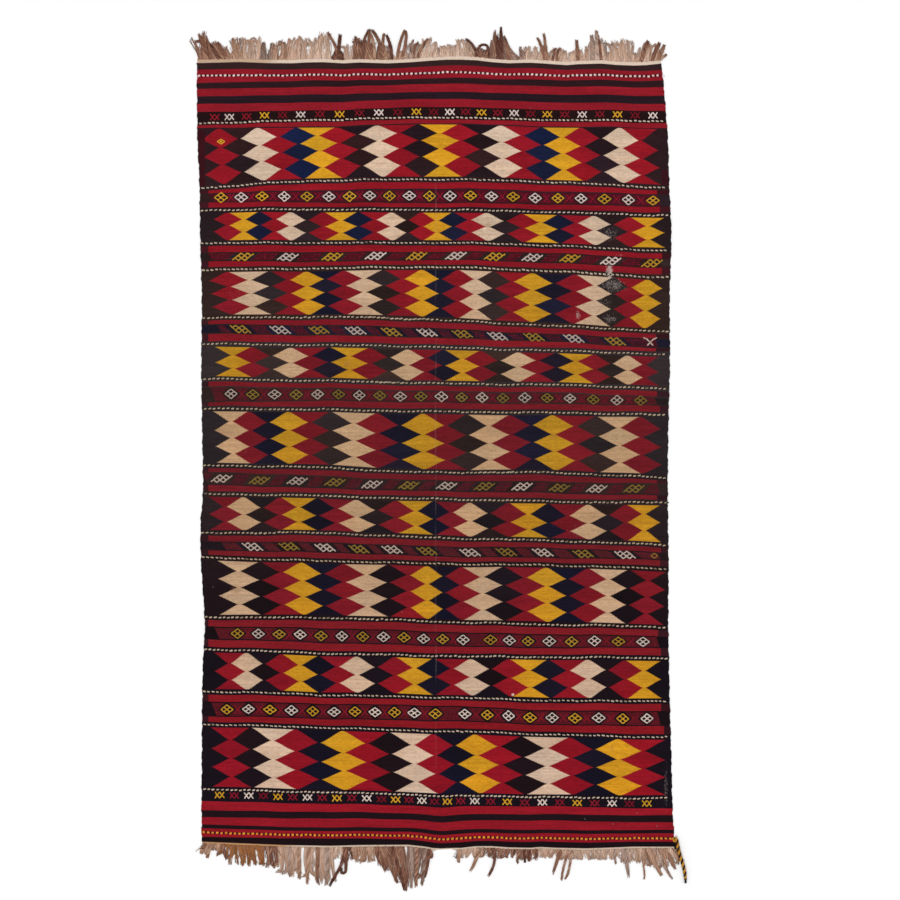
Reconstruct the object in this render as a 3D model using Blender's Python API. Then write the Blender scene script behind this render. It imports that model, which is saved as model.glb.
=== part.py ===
"""A flat-woven kilim rug with a fringed web at each end and one twisted tail at a corner.

The rug lies flat and face up. +X runs across it, +Y along it towards its head end and +Z up, and
the origin is the middle of its underside. The sizes below are millimetres. "down" is how far a
place lies below the head end of the cloth, and "across" is how far it lies right of the centre line.

The cloth was woven in one piece and is one solid. Beyond its first and last weft lines the bare
warps run through a narrow web and end in a fringe, so each web with its locks is one more solid,
and the tail of the last twined line is the fourth.
"""
import math
import random
from collections import namedtuple

import bmesh
import bpy
from mathutils import Vector

MM = 0.001

# ---- driving dimensions, in millimetres ----
WOVEN_LENGTH = 2896.0
CLOTH_THICKNESS = 2.6
RIB_HEIGHT = 0.9
RIB_HALF_WIDTH = 3.8
PARTING = 0.3

WEB_WIDTH = 17.0
WEB_THICKNESS = 2.2
WORN_WEB_WIDTH = 4.0
LOCK_PITCH = 15.2
LOCK_ROOT_WIDTH = 10.8
LOCK_BELLY_WIDTH = 8.6
LOCK_TIP_WIDTH = 2.8
LOCK_TIP_HEIGHT = 1.4
LOCK_BELLY_HEIGHT = 3.6
LOCK_SPARE = 1.2
LONG_LOCK = 60.0
REACH_UNIT = 150.0
FRINGE_SEED = 11

TAIL_RADIUS = 7.0
TAIL_LOBE = 0.19
TAIL_SIDES = 10
TAIL_TURN = 24.0
TAIL_STEP = 4.0
TAIL_TIP_SHARE = 0.55

# ---- the weave ----
# Five places across the cloth, as shares of its width, where the woven lines are given.
STATIONS = (0.03, 0.255, 0.50, 0.747, 0.96)

# How far down each woven line lies at those five places: hand weaving lets the lines sag and
# lean. "rib" marks the twined lines, whose thick paired wefts stand proud of the cloth.
Line = namedtuple("Line", "name far_left left middle right far_right rib")
LINES = (
    Line("head edge", 20, 15, 11, 20, 26, False),
    Line("head beads", 66, 60, 55, 61, 66, True),
    Line("twine 1", 238, 225, 218, 225, 231, True),
    Line("twine 2", 472, 448, 444, 453, 472, True),
    Line("twine 3", 556, 554, 555, 563, 574, True),
    Line("twine 4", 676, 676, 675, 686, 702, True),
    Line("twine 5", 773, 770, 764, 780, 799, True),
    Line("twine 6", 949, 947, 956, 979, 997, True),
    Line("twine 7", 1046, 1049, 1057, 1069, 1082, True),
    Line("twine 8", 1174, 1179, 1190, 1194, 1208, True),
    Line("twine 9", 1283, 1285, 1293, 1296, 1305, True),
    Line("twine 10", 1490, 1497, 1515, 1515, 1532, True),
    Line("twine 11", 1594, 1601, 1612, 1621, 1625, True),
    Line("twine 12", 1735, 1737, 1753, 1765, 1777, True),
    Line("twine 13", 1826, 1839, 1848, 1855, 1865, True),
    Line("twine 14", 2044, 2046, 2060, 2071, 2080, True),
    Line("twine 15", 2163, 2175, 2186, 2190, 2194, True),
    Line("twine 16", 2316, 2327, 2336, 2351, 2354, True),
    Line("twine 17", 2439, 2450, 2460, 2473, 2482, True),
    Line("twine 18", 2673, 2684, 2693, 2702, 2705, True),
    Line("foot beads", 2830, 2837, 2843, 2850, 2854, True),
    Line("foot edge", 2864, 2874, 2875, 2883, 2885, False),
)

# The two selvedges, which waver: how far left and right of the centre line they lie.
Edge = namedtuple("Edge", "down left right")
EDGES = (
    Edge(0, -868, 828),
    Edge(130, -868, 847),
    Edge(300, -866, 852),
    Edge(450, -859, 857),
    Edge(650, -856, 865),
    Edge(880, -850, 859),
    Edge(1120, -852, 860),
    Edge(1350, -849, 854),
    Edge(1590, -846, 852),
    Edge(1840, -853, 855),
    Edge(2070, -839, 854),
    Edge(2300, -846, 858),
    Edge(2550, -850, 865),
    Edge(2750, -851, 870),
    Edge(2896, -850, 879),
)

# The sheet's columns, as shares of its width, closest beside the lengthwise fold line.
COLUMNS = (0.0, 0.03, 0.08, 0.15, 0.22, 0.30, 0.38, 0.45, 0.486, 0.497, 0.508, 0.53, 0.57,
           0.64, 0.72, 0.80, 0.87, 0.93, 0.97, 1.0)

# The rug was stored folded along its middle: the fold keeps a low ridge, and near the foot the
# lines dip just right of it.
FOLD_SHARE = 0.497
FOLD_HEIGHT = 2.4
FOLD_HALF_WIDTH = 16.0
DIP_ACROSS = 36.0
DIP_DEPTH = 11.0
DIP_HALF_WIDTH = 42.0
DIP_STARTS = 2600.0
DIP_FULL = 2800.0

# Low swells where the cloth stands a little off the floor.
Swell = namedtuple("Swell", "across down half_width half_length height")
SWELLS = (
    Swell(-790, 690, 70, 150, 3.2),
    Swell(800, 640, 90, 120, 3.8),
    Swell(820, 1330, 70, 160, 2.8),
    Swell(-800, 2060, 80, 130, 3.4),
    Swell(790, 2260, 90, 150, 3.0),
    Swell(-300, 1180, 190, 60, 2.2),
    Swell(330, 1830, 210, 70, 2.4),
    Swell(-420, 2380, 160, 60, 2.0),
    Swell(420, 420, 170, 60, 2.0),
)
SWELL_FLOOR = 0.7
LEVEL_END = 90.0

# ---- the fringe ----
# Each clump of warp ends: where it starts and ends across, how far its locks reach past the web,
# how far their tips lean right, and how pointed the clump is (0 is cut straight, 1 is a spike).
Clump = namedtuple("Clump", "start end reach lean point")
HEAD_CLUMPS = (
    Clump(-868, -777, 80, -42, 0.25),
    Clump(-777, -740, 69, -8, 0.30),
    Clump(-740, -631, 84, 4, 0.15),
    Clump(-631, -583, 66, 2, 0.35),
    Clump(-583, -528, 74, -4, 0.30),
    Clump(-528, -400, 86, 6, 0.20),
    Clump(-400, -327, 88, 0, 0.70),
    Clump(-327, -254, 86, 6, 0.25),
    Clump(-254, -181, 112, 4, 0.45),
    Clump(-181, -137, 92, 8, 0.35),
    Clump(-137, -97, 108, 16, 0.50),
    Clump(-97, -60, 70, 6, 0.20),
    Clump(-60, 20, 72, 0, 0.20),
    Clump(20, 148, 70, 12, 0.30),
    Clump(148, 203, 58, 10, 0.35),
    Clump(203, 313, 114, 4, 0.75),
    Clump(313, 367, 48, 0, 0.25),
    Clump(367, 404, 90, -6, 0.60),
    Clump(404, 466, 48, 4, 0.30),
    Clump(466, 514, 38, 4, 0.30),
    Clump(514, 561, 74, 0, 0.55),
    Clump(561, 634, 108, 2, 0.70),
    Clump(634, 729, 80, 4, 0.10),
    Clump(729, 838, 76, 26, 0.25),
)
FOOT_CLUMPS = (
    Clump(-857, -813, 36, -34, 0.25),
    Clump(-813, -576, 50, 4, 0.20),
    Clump(-576, -480, 104, 4, 0.35),
    Clump(-480, -382, 126, 6, 0.45),
    Clump(-382, -327, 108, 10, 0.60),
    Clump(-327, -218, 58, 2, 0.25),
    Clump(-218, -108, 146, 62, 0.55),
    Clump(-108, -18, 128, -14, 0.25),
    Clump(-18, 72, 16, 0, 0.10),
    Clump(72, 118, 52, 0, 0.30),
    Clump(118, 188, 84, -26, 0.45),
    Clump(188, 240, 100, -6, 0.60),
    Clump(240, 404, 48, 4, 0.20),
    Clump(404, 459, 92, 2, 0.45),
    Clump(459, 503, 120, 2, 0.55),
    Clump(503, 665, 42, 0, 0.15),
    Clump(665, 735, 100, -4, 0.50),
    Clump(735, 890, 102, 30, 0.30),
)
# The web is worn nearly through where the fold meets the foot end.
WORN_ACROSS = 11.0
WORN_HALF_WIDTH = 34.0

# ---- the corner tail ----
# The plied pair of wefts of the foot beads runs on past the right selvedge and lies on the
# floor. Its route starts at the selvedge and is given right of it and below its start.
TAIL_START_DOWN = 2850.0
TAIL_STAND_OFF = -3.2
Step = namedtuple("Step", "right below")
TAIL_ROUTE = (
    Step(0, 0),
    Step(2.4, 4),
    Step(4.6, 9),
    Step(6.6, 16),
    Step(8.6, 26),
    Step(10.8, 37),
    Step(13.4, 49),
    Step(16.8, 61),
    Step(20.6, 74),
    Step(24.6, 87),
    Step(28.4, 100),
    Step(31.8, 113),
    Step(34.4, 126),
    Step(36.2, 139),
    Step(37.4, 152),
    Step(38.0, 166),
)


def clear_scene():
    """Removes whatever the opened file holds."""
    for thing in list(bpy.data.objects):
        bpy.data.objects.remove(thing, do_unlink=True)


def finish_material(name, color, roughness):
    """One plain material of a woollen piece."""
    material = bpy.data.materials.new(name)
    material.use_nodes = True
    shader = material.node_tree.nodes["Principled BSDF"]
    shader.inputs["Base Color"].default_value = (*color, 1.0)
    shader.inputs["Roughness"].default_value = roughness
    shader.inputs["Metallic"].default_value = 0.0
    return material


def smooth_between(places, values, at):
    """A smooth curve through the given values, which runs on straight past its ends."""
    last = len(places) - 1
    slopes = []
    for k in range(last + 1):
        before = max(k - 1, 0)
        after = min(k + 1, last)
        slopes.append((values[after] - values[before]) / (places[after] - places[before]))
    if at <= places[0]:
        return values[0] + slopes[0] * (at - places[0])
    if at >= places[last]:
        return values[last] + slopes[last] * (at - places[last])
    k = max(i for i in range(last) if places[i] <= at)
    span = places[k + 1] - places[k]
    t = (at - places[k]) / span
    return ((1 + 2 * t) * (1 - t) ** 2 * values[k] + t * (1 - t) ** 2 * span * slopes[k]
            + t * t * (3 - 2 * t) * values[k + 1] + t * t * (t - 1) * span * slopes[k + 1])


def line_down(line_number, share):
    """How far down the cloth a woven line lies, at a share of the width; halves lie between."""
    first = min(int(line_number), len(LINES) - 2)
    part = line_number - first
    near = smooth_between(STATIONS, LINES[first][1:6], share)
    far = smooth_between(STATIONS, LINES[first + 1][1:6], share)
    return near + (far - near) * part


def selvedge(down, side):
    """Where the left or right selvedge lies across, at a place down the rug."""
    return smooth_between([edge.down for edge in EDGES], [getattr(edge, side) for edge in EDGES], down)


def across_at(share, down):
    """Millimetres right of the centre line, at a share of the width."""
    left = selvedge(down, "left")
    return left + (selvedge(down, "right") - left) * share


def fold_dip(across, down):
    """How far the lines near the foot dip beside the fold."""
    ramp = min(max((down - DIP_STARTS) / (DIP_FULL - DIP_STARTS), 0.0), 1.0)
    return DIP_DEPTH * ramp * math.exp(-((across - DIP_ACROSS) / DIP_HALF_WIDTH) ** 2)


def rise(across, down, share):
    """How far the cloth's underside stands off the floor."""
    ends = min(down, WOVEN_LENGTH - down) / LEVEL_END
    level = min(max(ends - 0.6, 0.0), 1.0)
    total = -SWELL_FLOOR
    for swell in SWELLS:
        spread = (((across - swell.across) / swell.half_width) ** 2
                  + ((down - swell.down) / swell.half_length) ** 2)
        total += swell.height * math.exp(-spread)
    fold = (share - FOLD_SHARE) * (EDGES[0].right - EDGES[0].left) / FOLD_HALF_WIDTH
    return level * (max(total, 0.0) + FOLD_HEIGHT * math.exp(-fold * fold))


def on_cloth(share, line_number, below=0.0):
    """A point of the cloth's underside: on a woven line, or some millimetres below it."""
    down = line_down(line_number, share) + below
    across = across_at(share, down)
    down += fold_dip(across, down)
    return Vector((across, WOVEN_LENGTH / 2 - down, rise(across, down, share)))


def weave_rows():
    """The sheet's rows: (line number, millimetres below that line, rib height)."""
    rows = [(0, 0.0, 0.0)]
    last = len(LINES) - 1
    for number in range(1, last):
        rows.append((number - 0.5, 0.0, 0.0))
        rows.append((number, -RIB_HALF_WIDTH, 0.0))
        rows.append((number, 0.0, RIB_HEIGHT))
        rows.append((number, RIB_HALF_WIDTH, 0.0))
    rows.append((last, 0.0, 0.0))
    return rows


def object_from(bm, name, material):
    """Turns a working mesh, made in millimetres, into a named object in metres."""
    bmesh.ops.recalc_face_normals(bm, faces=bm.faces)
    bmesh.ops.scale(bm, vec=(MM, MM, MM), verts=bm.verts)
    mesh = bpy.data.meshes.new(name)
    bm.to_mesh(mesh)
    bm.free()
    mesh.shade_smooth()
    mesh.set_sharp_from_angle(angle=math.radians(35))
    mesh.materials.append(material)
    thing = bpy.data.objects.new(name, mesh)
    return thing


def thick_grid(cells_across, cells_along, place):
    """A closed sheet from a grid. place(column, row, on_top) gives each point of both its faces."""
    bm = bmesh.new()
    bmesh.ops.create_grid(bm, x_segments=cells_across, y_segments=cells_along, size=0.5)
    columns = {}
    for vert in bm.verts:
        column = round((vert.co.x + 0.5) * cells_across)
        row = round((0.5 - vert.co.y) * cells_along)
        columns[vert] = (column, row)
    grown = bmesh.ops.extrude_face_region(bm, geom=bm.faces[:], use_keep_orig=True)
    for vert in grown["geom"]:
        if isinstance(vert, bmesh.types.BMVert):
            column = round((vert.co.x + 0.5) * cells_across)
            row = round((0.5 - vert.co.y) * cells_along)
            vert.co = place(column, row, True)
    for vert, (column, row) in columns.items():
        vert.co = place(column, row, False)
    return bm


def make_field(material):
    """The woven cloth from its first weft line to its last."""
    rows = weave_rows()

    def place(column, row, on_top):
        number, below, rib = rows[row]
        point = on_cloth(COLUMNS[column], number, below)
        if on_top:
            point.z += CLOTH_THICKNESS + rib
        return point

    bm = thick_grid(len(COLUMNS) - 1, len(rows) - 1, place)
    return object_from(bm, "kilim_field", material)


def end_line(line_number):
    """The corner points of the cloth's end, left to right, which its web follows."""
    return [on_cloth(share, line_number) for share in COLUMNS]


def on_end_line(points, across):
    """Where the cloth's end lies along the rug, at a place across it."""
    across = min(max(across, points[0].x), points[-1].x)
    k = max(i for i in range(len(points) - 1) if points[i].x <= across)
    t = (across - points[k].x) / (points[k + 1].x - points[k].x)
    return points[k].y + (points[k + 1].y - points[k].y) * t


def corner_room(points, cuts, side):
    """How much further each cut of the web stands off, so that no corner of the cloth's end
    reaches past the straight run between two cuts."""
    room = [0.0] * len(cuts)
    for corner in points[1:-1]:
        k = max(i for i in range(len(cuts) - 1) if cuts[i] <= corner.x)
        t = (corner.x - cuts[k]) / (cuts[k + 1] - cuts[k])
        straight = on_end_line(points, cuts[k]) * (1 - t) + on_end_line(points, cuts[k + 1]) * t
        past = max(0.0, side * (corner.y - straight))
        room[k] = max(room[k], past)
        room[k + 1] = max(room[k + 1], past)
    return room


def web_width(across, worn):
    """The web's width, which wear has narrowed at the foot end's fold."""
    if not worn:
        return WEB_WIDTH
    wear = math.exp(-((across - WORN_ACROSS) / WORN_HALF_WIDTH) ** 4)
    return WEB_WIDTH - (WEB_WIDTH - WORN_WEB_WIDTH) * wear


def lock_plan(clumps, first, last):
    """Each lock's middle, reach and sideways drift, so that no two locks cross."""
    rng = random.Random(FRINGE_SEED)
    count = round((last - first) / LOCK_PITCH)
    pitch = (last - first) / count
    plan = []
    for k in range(count):
        middle = first + (k + 0.5) * pitch
        clump = next((c for c in clumps if c.start <= middle < c.end), clumps[-1])
        centre = (clump.start + clump.end) / 2
        off = (middle - centre) / ((clump.end - clump.start) / 2)
        reach = clump.reach * (1 - clump.point * abs(off) ** 1.5) * rng.uniform(0.93, 1.05)
        drift = clump.lean - off * clump.point * (clump.end - clump.start) * 0.42
        plan.append([middle, max(reach, 9.0), drift + rng.uniform(-2.5, 2.5)])
    for left, right in zip(plan, plan[1:]):
        right[2] = max(right[2], left[2] - drift_room(left[1], right[1], pitch))
    return plan, pitch


def drift_room(left_reach, right_reach, pitch):
    """How much less than its left neighbour a lock may drift before the two would touch."""
    shorter = min(left_reach, right_reach)
    rooms = []
    for share in (0.33, 0.5, 0.67, 1.0):
        depth = shorter * share
        width = (lock_section(depth / left_reach, left_reach)[0]
                 + lock_section(depth / right_reach, right_reach)[0]) / 2
        rooms.append((pitch - width - LOCK_SPARE) / drift_share(depth))
    return min(rooms)


def drift_share(distance):
    """How much of its sideways drift a lock has made at a distance from the web."""
    return (distance / REACH_UNIT) ** 1.35


def lock_section(t, reach):
    """A lock's width and height at a share of its reach: full at its belly, fine at its tip."""
    width = LOCK_BELLY_WIDTH * (1 - t) + LOCK_TIP_WIDTH * t
    height = LOCK_BELLY_HEIGHT * (1 - t) + LOCK_TIP_HEIGHT * t
    if reach < LONG_LOCK:
        height = min(height, WEB_THICKNESS + 0.6)
    return width, height


def make_fringe(name, line_number, side, clumps, worn, material):
    """One end's web, with a row of tapered locks that lie on the floor. side is +1 at the head."""
    points = end_line(line_number)
    first = points[0].x
    last = points[-1].x
    plan, pitch = lock_plan(clumps, first, last)
    margin = (pitch - LOCK_ROOT_WIDTH) / 2
    cuts = [first]
    for middle, _, _ in plan:
        cuts.append(middle - LOCK_ROOT_WIDTH / 2)
        cuts.append(middle + LOCK_ROOT_WIDTH / 2)
    cuts.append(last)
    room = corner_room(points, cuts, side)

    def place(column, row, on_top):
        across = cuts[column]
        out = PARTING + room[column] if row == 0 else web_width(across, worn)
        height = WEB_THICKNESS if on_top else 0.0
        return Vector((across, on_end_line(points, across) + side * out, height))

    bm = thick_grid(len(cuts) - 1, 1, place)
    outer = {}
    for face in bm.faces:
        middle = face.calc_center_median()
        flat = max(v.co.z for v in face.verts) - min(v.co.z for v in face.verts) < WEB_THICKNESS / 2
        beyond = side * (middle.y - on_end_line(points, middle.x)) > WORN_WEB_WIDTH * 0.6
        wide = max(v.co.x for v in face.verts) - min(v.co.x for v in face.verts) > margin * 2.2
        if not flat and beyond and wide:
            outer[round(middle.x, 1)] = face
    for across, face in sorted(outer.items()):
        middle, reach, drift = min(plan, key=lambda lock: abs(lock[0] - across))
        root = on_end_line(points, middle) + side * web_width(middle, worn)
        sections = 3 if reach >= LONG_LOCK else 2
        for k in range(1, sections + 1):
            face = bmesh.ops.extrude_discrete_faces(bm, faces=[face])["faces"][0]
            t = k / sections
            width, height = lock_section(t, reach)
            along = reach * t
            centre = middle + drift * drift_share(along)
            for n, vert in enumerate(sorted(face.verts, key=lambda v: v.co.x)):
                on_top = vert.co.z > LOCK_TIP_HEIGHT / 2
                vert.co.x = centre + (width / 2 if n > 1 else -width / 2)
                vert.co.y = root + side * along
                vert.co.z = height if on_top else 0.0
    return object_from(bm, name, material)


def make_tail(material):
    """The twisted two-ply tail, swept along its route and turned as it goes."""
    edge_across = selvedge(TAIL_START_DOWN, "right") + TAIL_STAND_OFF + TAIL_RADIUS
    start = Vector((edge_across, WOVEN_LENGTH / 2 - TAIL_START_DOWN, TAIL_RADIUS))
    route = [start + Vector((step.right, -step.below, 0)) for step in TAIL_ROUTE]
    lengths = [0.0]
    for before, after in zip(route, route[1:]):
        lengths.append(lengths[-1] + (after - before).length)
    count = round(lengths[-1] / TAIL_STEP)

    lobes = bpy.data.curves.new("tail_section", "CURVE")
    outline = lobes.splines.new("POLY")
    outline.points.add(TAIL_SIDES - 1)
    outline.use_cyclic_u = True
    for k, point in enumerate(outline.points):
        angle = -math.tau * k / TAIL_SIDES
        radius = TAIL_RADIUS * MM * (1 - TAIL_LOBE + TAIL_LOBE * math.cos(2 * angle))
        point.co = (radius * math.cos(angle), radius * math.sin(angle), 0, 1)
    section = bpy.data.objects.new("tail_section", lobes)
    section.hide_render = True
    section.display_type = "WIRE"

    curve = bpy.data.curves.new("corner_tail", "CURVE")
    curve.dimensions = "3D"
    curve.bevel_mode = "OBJECT"
    curve.bevel_object = section
    curve.use_fill_caps = True
    spline = curve.splines.new("POLY")
    spline.points.add(count)
    for k, point in enumerate(spline.points):
        at = lengths[-1] * k / count
        place = [smooth_between(lengths, [p[axis] for p in route], at) * MM for axis in range(3)]
        end = max(0.0, (k / count - 0.8) / 0.2)
        point.co = (*place, 1)
        point.tilt = math.tau * at / TAIL_TURN
        point.radius = 1 - (1 - TAIL_TIP_SHARE) * end
    curve.materials.append(material)
    tail = bpy.data.objects.new("corner_tail", curve)
    return tail, section


def centre_on_floor(things, followers):
    """Brings the middle of the things' common underside to the origin, and the followers too."""
    corners = [vert.co for thing in things for vert in thing.data.vertices]
    shift = Vector((
        -(min(c.x for c in corners) + max(c.x for c in corners)) / 2,
        -(min(c.y for c in corners) + max(c.y for c in corners)) / 2,
        -min(c.z for c in corners)))
    for thing in things + followers:
        thing.location = shift
    return shift


def main():
    clear_scene()
    rug = bpy.data.collections.new("kilim_rug")
    guides = bpy.data.collections.new("guides")
    bpy.context.scene.collection.children.link(rug)
    bpy.context.scene.collection.children.link(guides)

    red_wool = finish_material("red_wool", (0.30, 0.035, 0.05), 0.9)
    warp_wool = finish_material("warp_wool", (0.62, 0.48, 0.34), 0.92)
    plied_wool = finish_material("plied_wool", (0.55, 0.33, 0.10), 0.88)

    field = make_field(red_wool)
    head = make_fringe("fringe_head", 0, 1, HEAD_CLUMPS, False, warp_wool)
    foot = make_fringe("fringe_foot", len(LINES) - 1, -1, FOOT_CLUMPS, True, warp_wool)
    tail, section = make_tail(plied_wool)
    centre_on_floor([field, head, foot], [tail])
    for thing in (field, head, foot, tail):
        rug.objects.link(thing)
    guides.objects.link(section)


main()
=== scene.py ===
"""The looks of an old flat-woven kilim rug with fringed ends and one twisted corner tail.

Places on the rug are millimetres: "across" is right of its centre line and "down" is below the
head end of its cloth. Rows and columns of the pattern were read off the photograph, in its
own pixels, and PIXEL says how much cloth one of them covers. A row is a woven line that sags and
leans, so it is given at five places across.
"""
import math
import random
from collections import namedtuple

import bpy
import numpy as np
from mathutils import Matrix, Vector
from mathutils.geometry import delaunay_2d_cdt

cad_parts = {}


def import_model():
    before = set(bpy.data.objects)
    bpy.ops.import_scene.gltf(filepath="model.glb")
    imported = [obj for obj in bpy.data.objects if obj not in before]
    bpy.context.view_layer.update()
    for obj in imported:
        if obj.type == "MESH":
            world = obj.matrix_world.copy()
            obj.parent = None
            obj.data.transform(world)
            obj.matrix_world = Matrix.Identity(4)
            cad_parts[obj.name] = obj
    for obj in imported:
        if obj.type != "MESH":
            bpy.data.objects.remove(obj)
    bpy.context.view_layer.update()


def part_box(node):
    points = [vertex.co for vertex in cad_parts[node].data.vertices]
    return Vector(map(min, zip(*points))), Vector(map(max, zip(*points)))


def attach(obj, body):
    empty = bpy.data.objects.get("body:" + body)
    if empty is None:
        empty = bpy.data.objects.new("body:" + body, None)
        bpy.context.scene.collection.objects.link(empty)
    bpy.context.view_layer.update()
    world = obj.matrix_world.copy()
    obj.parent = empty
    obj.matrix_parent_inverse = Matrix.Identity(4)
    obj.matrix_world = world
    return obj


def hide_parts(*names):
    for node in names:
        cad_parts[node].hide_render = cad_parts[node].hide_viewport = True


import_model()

MM = 0.001
PIXEL = 3.656
ZERO_COLUMN = 434.5
ZERO_ROW = 58.0
IMAGE_SIDE = 900
TINY = 1e-9


def rows_of(kind, *rows):
    """A table of rows. The fields of their kind name the numbers."""
    return tuple(kind(*row) for row in rows)


# ---- the cloth ----
# These sizes are the solids' own, apart from the dip and the stretch of worn web, which are fitted
# a little closer to the photograph than in the solids.
WOVEN_LENGTH = 2896.0
CLOTH_THICKNESS = 2.6
RIB_HEIGHT = 0.9
RIB_HALF_WIDTH = 3.8
WEB_WIDTH = 17.0
WEB_THICKNESS = 2.2
WORN_WEB_WIDTH = 4.0
WORN_ACROSS = 36.0
WORN_HALF_WIDTH = 46.0
PARTING = 0.3

STATION_COLUMNS = (216, 320, 434, 550, 650)
STATIONS = np.array([(column - ZERO_COLUMN) * PIXEL for column in STATION_COLUMNS])

# How far down each twined line lies at the five stations.
LINES = {
    "head edge": (20, 15, 11, 20, 26),
    "head beads": (66, 60, 55, 61, 66),
    "twine 1": (238, 225, 218, 225, 231),
    "twine 2": (472, 448, 444, 453, 472),
    "twine 3": (556, 554, 555, 563, 574),
    "twine 4": (676, 676, 675, 686, 702),
    "twine 5": (773, 770, 764, 780, 799),
    "twine 6": (949, 947, 956, 979, 997),
    "twine 7": (1046, 1049, 1057, 1069, 1082),
    "twine 8": (1174, 1179, 1190, 1194, 1208),
    "twine 9": (1283, 1285, 1293, 1296, 1305),
    "twine 10": (1490, 1497, 1515, 1515, 1532),
    "twine 11": (1594, 1601, 1612, 1621, 1625),
    "twine 12": (1735, 1737, 1753, 1765, 1777),
    "twine 13": (1826, 1839, 1848, 1855, 1865),
    "twine 14": (2044, 2046, 2060, 2071, 2080),
    "twine 15": (2163, 2175, 2186, 2190, 2194),
    "twine 16": (2317, 2327, 2337, 2348, 2351),
    "twine 17": (2437, 2448, 2460, 2473, 2482),
    "twine 18": (2673, 2684, 2693, 2702, 2705),
    "foot beads": (2830, 2837, 2843, 2850, 2854),
    "foot edge": (2864, 2874, 2875, 2883, 2885),
}

Edge = namedtuple("Edge", "down left right")
EDGES = rows_of(Edge,
    (0, -868, 828), (70, -868, 834), (130, -868, 840), (208, -867, 846), (300, -866, 853),
    (450, -859, 857), (650, -856, 865), (880, -850, 859), (1120, -852, 860), (1350, -849, 854),
    (1590, -846, 852), (1690, -854, 853), (1840, -853, 855), (2070, -839, 854), (2190, -845, 856),
    (2300, -848, 858), (2550, -850, 865), (2750, -851, 870), (2896, -850, 879))

FOLD_SHARE = 0.497
FOLD_HEIGHT = 2.4
FOLD_HALF_WIDTH = 16.0
DIP_ACROSS = 36.0
DIP_DEPTH = 8.5
DIP_HALF_WIDTH = 42.0
DIP_STARTS = 2600.0
DIP_FULL = 2800.0

Swell = namedtuple("Swell", "across down half_width half_length height")
SWELLS = rows_of(Swell,
    (-790, 690, 70, 150, 3.2), (800, 640, 90, 120, 3.8), (820, 1330, 70, 160, 2.8),
    (-800, 2060, 80, 130, 3.4), (790, 2260, 90, 150, 3.0), (-300, 1180, 190, 60, 2.2),
    (330, 1830, 210, 70, 2.4), (-420, 2380, 160, 60, 2.0), (420, 420, 170, 60, 2.0))
SWELL_FLOOR = 0.7
# The cloth lies level at its two ends: over this share of LEVEL_END. It then rises over LEVEL_END.
LEVEL_END = 90.0
FLAT_SHARE = 0.6

# How the woven rows wander up and down: each wave's height, its lengths along and down the rug
# for one radian, and its start.
Wave = namedtuple("Wave", "height across down start")
WAVES = (Wave(1.2, 63, 290, 0.0), Wave(0.9, 29, -410, 1.9), Wave(0.8, 121, -150, 0.7))

# How the two ends of the cloth ripple: the photograph's column and row of places on them.
HEAD_END = ((199, 63.1), (240, 62.0), (267, 63.1), (292, 63.3), (306, 62.5), (323, 62.2), (344, 63.4),
            (359, 62.5), (388, 63.4), (410, 62.3), (429, 60.8), (446, 59.7), (461, 59.7), (477, 60.3),
            (492, 62.2), (508, 63.3), (530, 62.7), (542, 63.4), (555, 64.4), (567, 65.2), (578, 64.2),
            (602, 63.6), (617, 65.0), (633, 65.6), (646, 65.2), (661, 63.6))
FOOT_END = ((201, 841.6), (237, 843.1), (284, 845.0), (330, 845.8), (360, 845.0), (408, 844.7),
            (432, 847.2), (446, 845.8), (461, 847.7), (477, 846.1), (492, 846.1), (508, 847.3),
            (530, 847.8), (540, 846.9), (555, 847.7), (586, 848.4), (617, 847.3), (633, 846.6),
            (676, 846.7))
RIPPLE_REACH = 110.0

# Small scallops along the selvedges: each wave's height, and its length for one radian.
SCALLOPS = ((0.9, 14.0), (0.9, 6.3), (0.8, 3.4))
LEFT_SCALLOP_START = 2.4

# ---- the stripes between the twined lines, in the photograph's rows ----
HALF_LINE = 1.9
DARK_LINE = 2.8
THIN_LINE = 1.1
HEAD_STRIPES = (
    ("rubbed black", (70, 68.5, 66.5, 68.5, 71)),
    ("stripe", (83, 80, 78.5, 79.5, 81)),
    ("black", (89, 86.5, 84, 86, 87.5)),
    ("stripe", (96.5, 94, 92, 94, 96)),
    ("black", (104, 102, 99, 102, 104)),
    ("stripe", (112, 110, 107, 109.5, 111)),
)
FIRST_BAND_TOP = (128, 126, 123.5, 126, 128)
FOOT_STRIPES = (
    ("black", (801, 803.5, 805.5, 806.3, 808.3)),
    ("stripe", (810, 811.4, 813.3, 814, 815.3)),
    ("black", (816.8, 818, 819.6, 820.3, 822.3)),
    ("stripe", (824.2, 826.6, 827.6, 829.3, 830)),
    ("black", (828, 830.2, 831.6, 832.8, 833.6)),
    ("stripe", (836.3, 837.2, 839.3, 841, 842)),
)

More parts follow.
